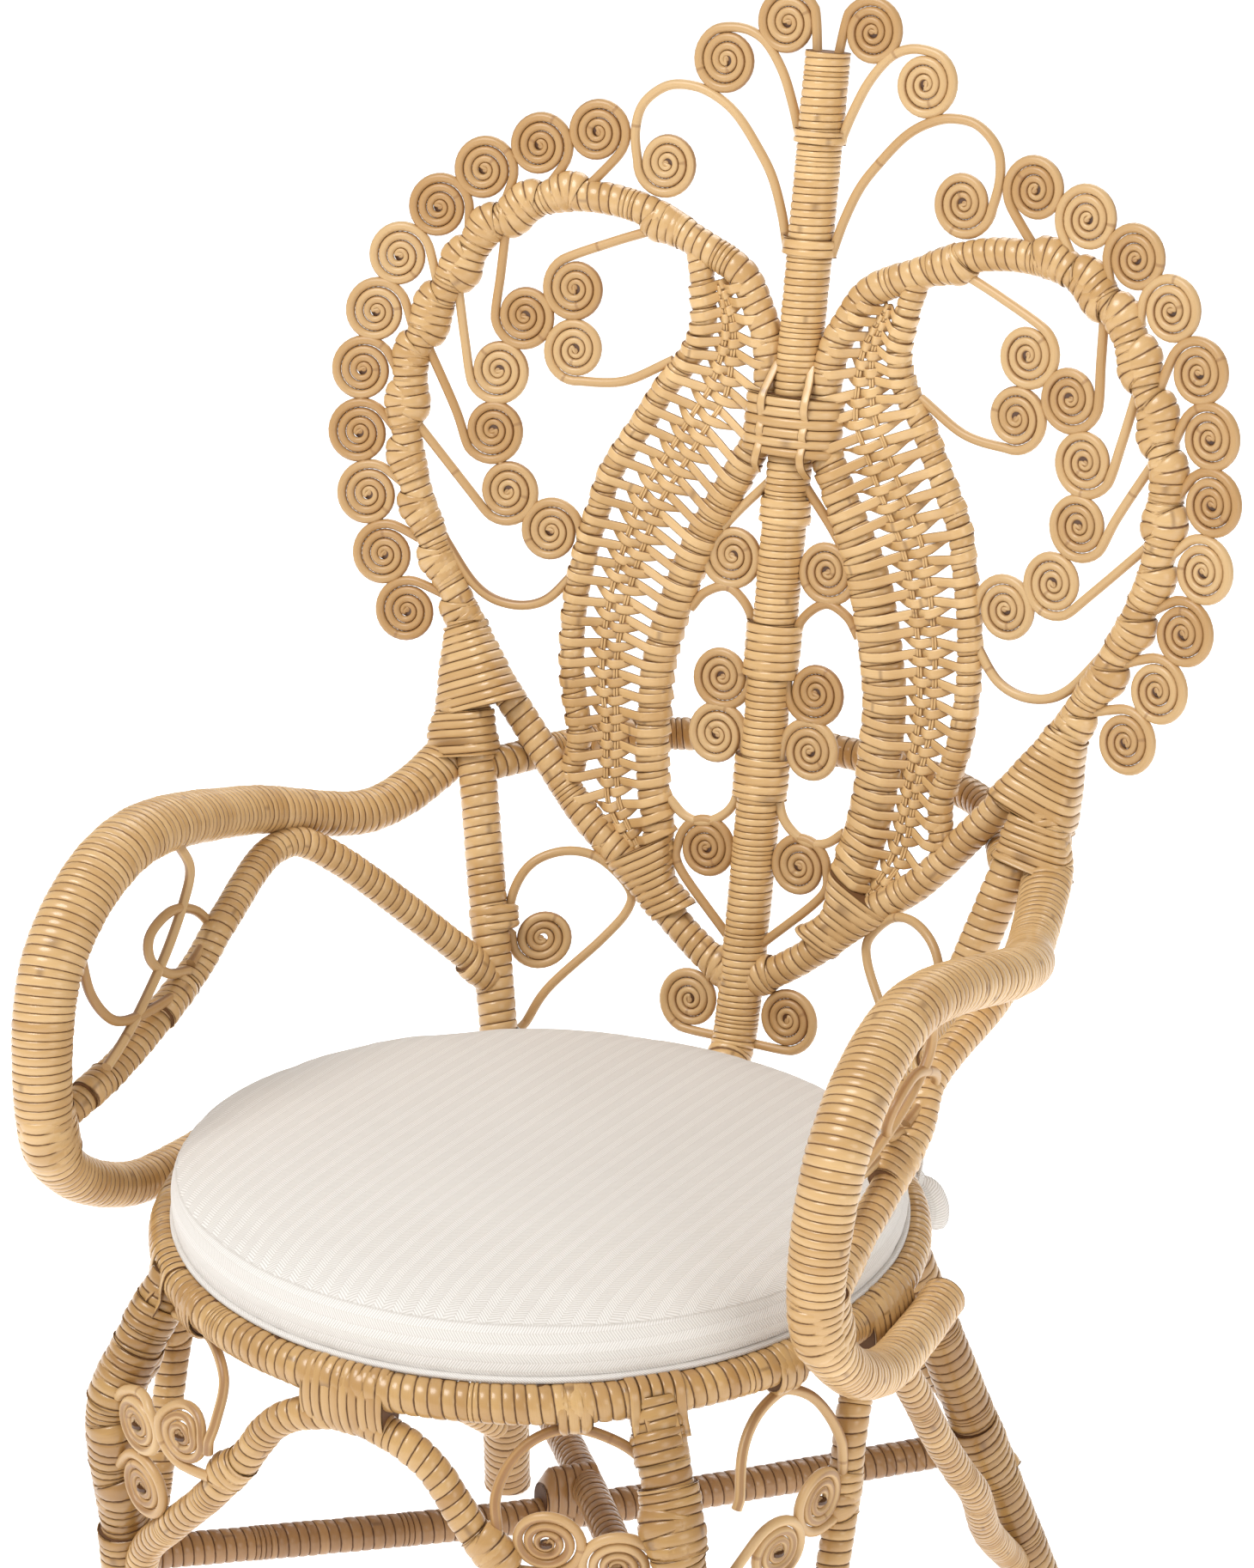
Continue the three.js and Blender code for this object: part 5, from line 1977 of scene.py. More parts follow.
@dataclass
class SeatFrame:
    """The seat ring with its bindings, and the deck of rods."""

    rod_radius: float = 0.005
    rod_pitch: float = 0.06
    bar_spread: float = 0.11
    overlap: float = 4.0
    arch_middles = (-90.0, 90.0, 180.0, 0.0)
    arch_half_turn: float = 6.5
    strip_half: float = 0.0036
    strip_thickness: float = 0.0008
    strips_a_leg: int = 5
    strip_spacing: float = 2.1
    loop_drop: float = 0.028
    cane_tie_half: float = 0.0115
    sleeve_width_share: float = 1.12

    sleeve_stops = (0, 0.1, 0.9, 1)
    sleeve_swells = (1, 1.05, 1.05, 1)
    over_ring = ((1.02, -0.2), (0.72, 0.72), (0, 1), (-0.72, 0.72), (-1, 0))

    def leg_loops(self, shop: Workshop, shape: Shape, line: Line) -> None:
        """Adds the strips looped over the ring at a leg's top.

        Args:
            shop: The workshop.
            shape: Takes the faces.
            line: Middle line of the leg.
        """
        plan = shop.plan
        out, on = round_axes(line[0])
        lift = plan.ring_radius + self.strip_thickness
        reach = plan.leg_top_half + self.strip_thickness
        low, mid = (nearest_place(line, line[0] - raised(self.loop_drop * share)) for share in (1, 0.5))
        top = plan.seat_radius * out + raised(plan.seat_height)
        over = [top + lift * outward * out + raised(lift * upward) for outward, upward in self.over_ring]
        for k in range(self.strips_a_leg):
            offset = (k - (self.strips_a_leg - 1) / 2) * self.strip_spacing * self.strip_half
            bulge = math.sqrt(max(reach**2 - offset**2, 0.0))
            points = [place + on * offset for place in (low + out * bulge, mid + out * bulge, *over)]
            shop.strip(shape, smooth_line(points, CANE_STEP), on, steady(self.strip_half, self.strip_thickness))

    def build(self, shop: Workshop, tops: list[np.ndarray]) -> None:
        """Makes the ring and the deck.

        Args:
            shop: The workshop.
            tops: Places where bent canes are tied up to the ring.
        """
        plan = shop.plan
        ring = Shape()
        around = plan.ring_line(90 - self.overlap, 450 + self.overlap)
        shop.pole(ring, around, plan.ring_radius, facing=UPWARDS)
        deep = plan.ring_radius + plan.arch_radius
        for middle in self.arch_middles:
            held = plan.ring_line(middle - self.arch_half_turn, middle + self.arch_half_turn)
            wide = (plan.ring_radius * self.sleeve_width_share,) * len(self.sleeve_stops)
            tall = tapered(self.sleeve_stops, [deep * swell for swell in self.sleeve_swells], wide)
            shop.pole(ring, held - raised(plan.arch_radius), tall, SLEEVE_WINDING, UPWARDS)
        for depth in (-1, 1):
            for hand in Hand:
                self.leg_loops(shop, ring, plan.leg_line(hand.value, depth))
        for place in tops:
            shop.tie(ring, around, plan.ring_radius, place, self.cane_tie_half, plan.cane_radius)
        shop.place(ring, "wound_seat_ring", AMBER, ["seat_ring"], "wrap")
        deck = Shape()
        height = plan.seat_height + plan.ring_radius - self.rod_radius
        per_side = int((plan.seat_radius - plan.ring_radius) / self.rod_pitch)
        for i in range(-per_side, per_side + 1):
            self.rod(deck, plan, i * self.rod_pitch, height, crosswise=False)
        for side in (-1, 1):
            self.rod(deck, plan, side * self.bar_spread, height - 2 * self.rod_radius + plan.seat_in, crosswise=True)
        shop.place(deck, "deck_rods", BROWN, ["seat_deck"], "dark_wrap")

    def rod(self, shape: Shape, plan: ChairPlan, offset: float, height: float, crosswise: bool) -> None:
        """Adds a rod across the ring.

        Args:
            shape: Takes the faces.
            plan: The chair's plan.
            offset: Distance of the rod from the middle.
            height: Height of its middle line.
            crosswise: True where it runs from side to side.
        """
        half = math.sqrt(plan.seat_radius**2 - offset**2)
        ends = np.array([[offset, -half, height], [offset, half, height]])
        if crosswise:
            ends = ends[:, [1, 0, 2]]
        sweep(shape, even_line(ends, 4 * CANE_STEP), UPWARDS, steady(self.rod_radius), ROD_COLUMNS)


@dataclass
class Legs:
    """The four legs, the arches between them and the crossed stretchers."""

    foot_run: float = 0.018
    band_drop: float = 0.036
    cane_band_drop: float = 0.09
    cane_band_half: float = 0.021
    cane_band_room: float = 0.0024
    crossing_half: float = 0.024

    top_tie = (0.011, 0.0015)
    stretcher_tie = (0.026, 0.002)

    def line_to_floor(self, plan: ChairPlan, hand: Hand, depth: int) -> Line:
        """A leg's middle line, carried on below the floor.

        Args:
            plan: The chair's plan.
            hand: The side.
            depth: -1 for a front leg, 1 for a back leg.

        Returns:
            The line.
        """
        line = plan.leg_line(hand.value, depth)
        return even_line(np.vstack([line, line[-1] + unit(line[-1] - line[-2]) * self.foot_run]), FINE_STEP)

    def build(self, shop: Workshop, stems: Ends) -> None:
        """Makes the legs, arches and stretchers.

        Args:
            shop: The workshop.
            stems: Places where canes are tied to them, each with its heading.
        """
        plan = shop.plan
        lines = {(hand, depth): self.line_to_floor(plan, hand, depth) for hand in Hand for depth in (-1, 1)}
        stretchers = self.stretcher_lines(plan, lines)
        touching = [end for line in stretchers.values() for end in (line[0], line[-1])]
        top_half, foot_half = plan.leg_top_half, plan.leg_foot_half
        for (hand, depth), line in lines.items():
            shape = Shape()
            shop.pole(shape, line, tapered((0, 1), (top_half, foot_half)))
            shop.tie(shape, line, top_half, nearest_place(line, line[0] - raised(self.band_drop)), *self.top_tie)
            if depth < 0:
                place = nearest_place(line, line[0] - raised(self.cane_band_drop))
                along_ring = (-place[1], place[0], 0)
                shop.band(shape, line, place, self.cane_band_half, top_half, self.cane_band_room, along_ring)
            for place in touching:
                if touches(line, place, plan.stretcher_radius):
                    shop.tie(shape, line, foot_half, place, *self.stretcher_tie)
            self.tie_stems(shop, shape, line, top_half, stems)
            shape.stand_on_floor()
            end = "front" if depth < 0 else "back"
            shop.place(shape, f"{end}_leg_{hand.word}", SHADED_TAWNY, [f"leg_{end}_{hand.word}"], "wrap")
        arches = {
            "front": plan.arch_line(-90, FRONT_ARCH_SHARES, FRONT_ARCH_SHARES),
            "back": plan.arch_line(90, BACK_ARCH_SHARES, BACK_ARCH_SHARES),
            "left": plan.arch_line(180, SIDE_ARCH_BACK_SHARES, SIDE_ARCH_FRONT_SHARES),
            "right": plan.arch_line(0, SIDE_ARCH_FRONT_SHARES, SIDE_ARCH_BACK_SHARES),
        }
        for place, line in arches.items():
            shape = Shape()
            shop.pole(shape, line, plan.arch_radius, facing=UPWARDS)
            self.tie_stems(shop, shape, line, plan.arch_radius, stems)
            shop.place(shape, f"wound_arch_{place}", AMBER, [f"arch_{place}"], "wrap")
        for layer, line in stretchers.items():
            shape = Shape()
            shop.pole(shape, line, plan.stretcher_radius, facing=UPWARDS)
            if layer == "lower":
                middle = line[len(line) // 2] + raised(2 * plan.stretcher_radius)
                shop.tie(shape, line, plan.stretcher_radius, middle, self.crossing_half, plan.stretcher_radius)
            shop.place(shape, f"wound_stretcher_{layer}", BROWN, [f"stretcher_{layer}"], "dark_wrap")

    def tie_stems(self, shop: Workshop, shape: Shape, line: Line, radius: float, stems: Ends) -> None:
        """Ties the canes that end at a pole.

        Args:
            shop: The workshop.
            shape: Takes the faces.
            line: Middle line of the pole.
            radius: The pole's radius.
            stems: Ends of canes, each with its heading.
        """
        for place, heading in stems:
            if touches(line, place, radius + 2 * shop.plan.cane_radius):
                shop.stem_tie(shape, line, radius, place, heading)

    def stretcher_lines(self, plan: ChairPlan, lines: dict[tuple[Hand, int], Line]) -> dict[str, Line]:
        """Middle lines of the two stretchers.

        Args:
            plan: The chair's plan.
            lines: The legs' middle lines by hand and depth.

        Returns:
            The lines by layer.
        """
        stack = {"lower": (-1, Hand.LEFT, Hand.RIGHT), "upper": (1, Hand.RIGHT, Hand.LEFT)}
        found = {}
        for layer, (offset, front_hand, back_hand) in stack.items():
            front = at_height(lines[front_hand, -1], plan.stretcher_front_share * plan.seat_height)
            back = at_height(lines[back_hand, 1], plan.stretcher_back_share * plan.seat_height)
            lift = raised(offset * (plan.stretcher_radius - plan.seat_in))
            found[layer] = smooth_line([front, (front + back) / 2 + lift, back])
        return found


@dataclass
class BackFrame:
    """The heart frame, its rails, posts, hoop and bindings."""

    post_ties = ((0.45, 0.02, 0.004), (0.283, 0.016, 0.004), (0.633, 0.009, 0.002), (0.97, 0.006, 0.003),
                 (1.108, 0.005, 0.002))  # fmt: skip
    heart_half = 0.0114
    arm_half = 0.015
    arm_head_run = 0.075
    arm_aside = 0.015
    merge_heights = (0.735, 0.683)
    foot_half = 0.0078
    foot_shares = ((0.262, 0.24), (0.247, 0.17), (0.229, 0.12), (0.165, 0.088), (0.12, 0.08))
    bundle_heights = {"heart": (22, 0.738, 0.682), "arm": (12, 0.681, 0.651), "foot": (30, 0.587, 0.551)}
    scroll_tie_share = 0.31
    scroll_tie_half = 0.009
    upright_half = 0.0032
    upright_thickness = 0.0007
    upright_flat = 0.93
    upright_places = (
        (0.824, 0.36, -0.012), (0.806, 0.42, -0.006), (0.786, 0.46, 0.0016), (0.771, 0.46, 0.0019),
        (0.757, 0.46, -0.0016), (0.742, 0.46, 0.0019), (0.73, 0.46, -0.0016), (0.716, 0.46, 0.0019),
        (0.7, 0.5, 0.001), (0.684, 0.54, -0.008),
    )  # fmt: skip

    def build(self, shop: Workshop, ties: dict[Hand, Ends]) -> None:
        """Makes the frame of the back.

        Args:
            shop: The workshop.
            ties: Places where canes are tied with their headings, by side.
        """
        plan = shop.plan
        post = Shape()
        line = plan.post_line()
        shop.pole(post, line, plan.post_radius, POST_WINDING)
        for share, half_length, wider in self.post_ties:
            shop.band(post, line, plan.on_heart((0, share)), half_length, plan.post_radius, wider)
        shop.place(post, "wound_centre_post", PALE, ["centre_post"], "wrap")
        binding = Shape()
        held = even_line(np.array([plan.on_heart((0, share)) for share in plan.binding_shares]), FINE_STEP)
        halves = steady(plan.binding_half_width, plan.binding_half_depth)
        shop.pole(binding, held, halves, BINDING_WINDING, SIDEWARDS)
        for side in (-1, 1):
            for front in (-1, 1):
                self.upright(shop, binding, side, front)
        shop.place(binding, "heart_binding", GOLDEN, ["centre_binding"], "wrap")
        for hand in Hand:
            self.build_side(shop, hand, ties[hand])
        hoop = Shape()
        shop.pole(hoop, plan.hoop_line(), plan.hoop_radius, facing=UPWARDS)
        shop.place(hoop, "wound_hoop", AMBER, ["rear_hoop"], "wrap")

    def upright(self, shop: Workshop, shape: Shape, side: int, front: int) -> None:
        """Adds a strip that runs up over the binding and is tucked in above and below it.

        Args:
            shop: The workshop.
            shape: Takes the faces.
            side: Side of the middle.
            front: 1 on the front, -1 on the back.
        """
        plan = shop.plan
        points = []
        for share, out_share, proud in self.upright_places:
            place = plan.on_heart((0, share))
            place[0] = side * out_share * plan.binding_half_width
            place[1] -= front * (plan.binding_half_depth * self.upright_flat + proud)
            points.append(place)
        flat = steady(self.upright_half, self.upright_thickness)
        shop.strip(shape, smooth_line(points, CANE_STEP), SIDEWARDS, flat)

    def build_side(self, shop: Workshop, hand: Hand, ties: Ends) -> None:
        """Makes one half of the heart with its rails and side post.

        Args:
            shop: The workshop.
            hand: The side.
            ties: Places where canes are tied, with their headings.
        """
        plan = shop.plan
        heart = Shape()
        line = plan.back_line(HEART_SHARES, hand.value)
        shop.pole(heart, line, self.heart_half)
        for place, heading in ties:
            if touches(line, place, 2 * plan.heart_radius):
                shop.stem_tie(heart, line, self.heart_half, place, heading)
        shop.place(heart, f"wound_heart_{hand.word}", GOLDEN, [f"heart_frame_{hand.word}"], "wrap")
        outer_line = plan.back_line(OUTER_RAIL_SHARES, hand.value)
        inner_line = plan.back_line(INNER_RAIL_SHARES, hand.value)
        half = plan.inner_rail_half(hand.value, inner_line[:, 2])
        doubled = along_line(inner_line, half, np.full(len(half), plan.rail_radius))
        inner_line[:, 0] += hand.value * (half - plan.rail_radius)
        rails = (("outer", outer_line, steady(plan.outer_rail_half)), ("inner", inner_line, doubled))
        for part, rail_line, halves in rails:
            rail = Shape()
            shop.pole(rail, rail_line, halves, RAIL_WINDING, SIDEWARDS)
            node = f"panel_{part}_rail_{hand.word}"
            shop.place(rail, f"wound_{part}_rail_{hand.word}", GOLDEN, [node], "wrap")
        post = Shape()
        post_line = plan.side_post_line(hand.value)
        shop.pole(post, post_line, plan.side_post_radius, SIDE_POST_WINDING)
        self.bundles(shop, post, hand, line)
        inwards = unit((-hand.value, plan.side_sheet_slope, 0)) * (plan.side_post_radius + plan.cane_radius)
        held = plan.side_post_point(hand.value, self.scroll_tie_share) + inwards
        shop.tie(post, post_line, plan.side_post_radius, held, self.scroll_tie_half, plan.cane_radius)
        shop.place(post, f"wound_side_post_{hand.word}", GOLDEN, [f"back_post_{hand.word}"], "wrap")

    def bundles(self, shop: Workshop, shape: Shape, hand: Hand, heart: Line) -> None:
        """Binds the heart frame to its side post, the post to the arm, and the V to the panel's foot.

        Args:
            shop: The workshop.
            shape: Takes the faces.
            hand: The side.
            heart: The heart frame's middle line.
        """
        plan = shop.plan
        post = plan.side_post_line(hand.value)
        aside = post.copy()
        top, bottom = self.merge_heights
        aside[:, 0] += hand.value * np.interp(post[:, 2], (bottom, top), (self.arm_aside, 0))
        arm = plan.arm_line(hand.value)
        arm = arm[run_lengths(arm) < self.arm_head_run]
        foot = plan.back_line(self.foot_shares, hand.value)
        lobe = (heart[: len(heart) // 2], self.heart_half)
        pairs = {
            "heart": (lobe, (aside, plan.side_post_radius), post),
            "arm": ((post, plan.side_post_radius), (arm, self.arm_half), post),
            "foot": (lobe, (foot, self.foot_half), lobe[0]),
        }
        for name, (first, second, measured) in pairs.items():
            rise, *heights = self.bundle_heights[name]
            across = (-hand.value * math.cos(math.radians(rise)), 0, math.sin(math.radians(rise)))
            shop.bundle(shape, (first, second), across, *(at_height(measured, height) for height in heights))


@dataclass
class Arms:
    """The arms and their brackets."""

    rear_half: float = 0.015
    front_half_width: float = 0.022
    front_half_depth: float = 0.018
    foot_tie_steps: int = 8

    cane_tie_halves = (0.011, 0.018)
    head_tie = (0.02, 0.004)
    foot_tie = (0.016, 0.003)
    head_shares = (0.0, 0.05, 0.14)
    head_swells = (0.0, 0.003, 0.0)

    def halves(self, share: np.ndarray) -> tuple[np.ndarray, np.ndarray]:
        """Half-widths that swell towards the front bend.

        Args:
            share: Shares of the arm's length.

        Returns:
            Both half-widths at each.
        """
        swell = np.sin(np.pi * share) ** 2
        head = np.interp(share, self.head_shares, self.head_swells)
        wide = self.rear_half + (self.front_half_width - self.rear_half) * swell
        return wide + head, self.rear_half + (self.front_half_depth - self.rear_half) * swell

    def build(self, shop: Workshop, hand: Hand) -> None:
        """Makes one arm and its bracket.

        Args:
            shop: The workshop.
            hand: The side.
        """
        plan = shop.plan
        arm = Shape()
        line = plan.arm_line(hand.value)
        shop.pole(arm, line, self.halves, ARM_WINDING, SIDEWARDS)
        bracket = Shape()
        bracket_line = plan.bracket_line(hand.value)
        shop.pole(bracket, bracket_line, plan.bracket_radius, RAIL_WINDING, SIDEWARDS)
        shop.tie(arm, line, self.front_half_depth, bracket_line[0], *self.head_tie, SLEEVE_WINDING)
        foot = bracket_line[-self.foot_tie_steps]
        shop.tie(bracket, bracket_line, plan.bracket_radius, foot, *self.foot_tie)
        canes = ArmCanes()
        for shares, half in zip(canes.cane_shares, self.cane_tie_halves):
            cane_end = canes.points(plan, hand, shares)[-1]
            shop.tie(bracket, bracket_line, plan.bracket_radius, cane_end, half, plan.cane_radius)
        shop.place(arm, f"wound_arm_{hand.word}", GOLDEN, [f"arm_{hand.word}"], "wrap")
        shop.place(bracket, f"wound_bracket_{hand.word}", GOLDEN, [f"arm_bracket_{hand.word}"], "wrap")


@dataclass
class PanelWeave:
    """Strips woven over two lengthwise stakes between a panel's rails.

    Every other strip leaves the front of the outer rail, goes under the nearer stake and over the further one, and
    ends behind the inner rail. The strips between do the same from the inner rail. Each narrows beyond its second
    stake, beside the strip above, so that gaps stay open along the rails.
    """

    pairs: int = 34
    strip_half: float = 0.0038
    end_half: float = 0.001
    strip_thickness: float = 0.0006
    stake_radius: float = 0.00105
    hidden_shift: float = -0.25
    jitter: float = 0.04
    inner_heart_from: int = 17
    outer_heart_from: int = 3
    outer_rail_to: int = -1
    step: float = 0.001
    rounds: int = 3
    evening: int = 41
    stake_points: int = 40
    stake_tone: float = 0.7
    lean_step: float = 0.02

    ends = (0.02, 0.97)
    start_shares = (0.25, 0.75)
    stake_shares = {Hand.LEFT: (0.32, 0.56), Hand.RIGHT: (0.42, 0.7)}
    front_turns = ((-1.0, -0.3), (-0.96, 0.3), (-0.75, 0.68), (-0.3, 0.96), (0.15, 1.02), (0.6, 0.9))
    hidden_turns = ((0.6, -0.9), (0.15, -1.02), (-0.3, -0.96), (-0.75, -0.68))
    narrowing = (0.05, 0.15)

    def build(self, shop: Workshop, hand: Hand) -> None:
        """Makes one panel.

        Args:
            shop: The workshop.
            hand: The side.
        """
        plan = shop.plan
        outer = (*OUTER_RAIL_SHARES[: self.outer_rail_to], *HEART_SHARES[self.outer_heart_from : 1 : -1])
        inner = (*HEART_SHARES[self.inner_heart_from :], *INNER_RAIL_SHARES)
        self.edges = [
            even_line(smooth_line([plan.flat_heart(share) for share in line]), self.step) for line in (outer, inner)
        ]
        self.middle = self.edges[1]
        for _ in range(self.rounds):
            places = [sum(self.nearest(place)) / 2 for place in self.middle[:: round(plan.rail_radius / self.step)]]
            self.middle = even_line(smooth_line(places), self.step)
        self.matches = []
        for edge in self.edges:
            found = np.maximum.accumulate([nearest_index(edge, place) for place in self.middle])
            padded = np.pad(found.astype(float), 2 * (self.evening // 2), mode="edge")
            window = np.ones(self.evening) / self.evening
            self.matches.append(np.convolve(np.convolve(padded, window, "valid"), window, "valid"))
        shape = Shape()
        for k in range(len(self.stake_shares[hand])):
            for aside in (-self.stake_radius, self.stake_radius):
                alongs = np.linspace(*self.ends, self.stake_points)
                points = [self.crossing(plan, hand, along)[k + 1] for along in alongs]
                stake = smooth_line([self.on_panel(plan, hand, x + aside, z, 0.0) for x, z in points], CANE_STEP)
                halves = steady(self.stake_radius)
                sweep(shape, stake, SIDEWARDS, halves, STRIP_COLUMNS, tone=self.stake_tone, turn_marks=True)
        for i in range(self.pairs):
            for start in (0, 1):
                self.strip(shop, shape, hand, (i + self.start_shares[start]) / self.pairs, start)
        shop.place(shape, f"woven_panel_{hand.word}", PALE, [f"panel_weave_{hand.word}"], "cane")

    def nearest(self, place: Place) -> list[np.ndarray]:
        """The nearest places of the outer and the inner edge."""
        return [nearest_place(edge, place) for edge in self.edges]

    def crossing(self, plan: ChairPlan, hand: Hand, along: float) -> list[np.ndarray]:
        """Flat places straight across the panel.

        Args:
            plan: The chair's plan.
            hand: The side.
            along: Share of the panel's length, from the top.

        Returns:
            The outer rail's axis, the stakes, and the axis of the doubled inner rail.
        """
        i = round(min(max(along, 0.0), 1.0) * (len(self.middle) - 1))
        outer, inner = (edge[round(match[i])] for edge, match in zip(self.edges, self.matches))
        across = unit(inner - outer)
        half = float(plan.inner_rail_half(hand.value, inner[1]))
        inner = inner - across * (half - plan.rail_radius)
        first = outer + across * plan.outer_rail_half
        clear = inner - across * half - first
        return [outer, *(first + clear * share for share in self.stake_shares[hand]), inner]

    def on_panel(self, plan: ChairPlan, hand: Hand, x: float, z: float, front: float) -> np.ndarray:
        """A place on the panel, some way in front of its sheet."""
        return plan.on_back(hand.value * x, z) - np.array([0, front, 0])

    def strip(self, shop: Workshop, shape: Shape, hand: Hand, along: float, start: int) -> None:
        """Adds one strip from rail to rail.

        Args:
            shop: The workshop.
            shape: Takes the faces.
            hand: The side.
            along: Share of the panel's length.
            start: 0 where the strip leaves the front of the outer rail, 1 where it leaves the inner rail.
        """
        plan = shop.plan
        wobble = shop.dice.uniform(-self.jitter, self.jitter, 2) / self.pairs
        places = self.crossing(plan, hand, along + wobble[0])
        last = self.crossing(plan, hand, along + wobble[1] + self.hidden_shift / self.pairs)
        inner_half = float(plan.inner_rail_half(hand.value, places[-1][1]))
        reaches = [plan.outer_rail_half, inner_half]
        if start:
            places, last, reaches = places[::-1], last[::-1], reaches[::-1]
        depths = [plan.outer_rail_half, plan.rail_radius][:: -1 if start else 1]
        onward = unit(places[-1] - places[0])
        over = self.stake_radius + self.strip_thickness
        spots = []
        for aside, front in self.front_turns:
            spots.append((places[0] + onward * aside * reaches[0], front * (depths[0] + self.strip_thickness)))
        spots += [(places[1], -over), (places[2], over)]
        for aside, front in self.hidden_turns:
            spots.append((last[-1] - onward * aside * reaches[1], front * (depths[1] + self.strip_thickness)))
        line = smooth_line([self.on_panel(plan, hand, x, z, front) for (x, z), front in spots], FINE_STEP)
        run = run_lengths(line)
        turned = run[nearest_index(line, self.on_panel(plan, hand, *places[2], over))] / run[-1]
        begin, end = (turned + share for share in self.narrowing)
        wide = tapered(
            (0, begin, end, 1), (self.strip_half, self.strip_half, self.end_half, self.end_half),
            (self.strip_thickness,) * 4,
        )  # fmt: skip
        above, below = (self.crossing(plan, hand, along + step)[1] for step in (-self.lean_step, self.lean_step))
        up = self.on_panel(plan, hand, *above, 0.0) - self.on_panel(plan, hand, *below, 0.0)
        shop.strip(shape, line, up, wide)


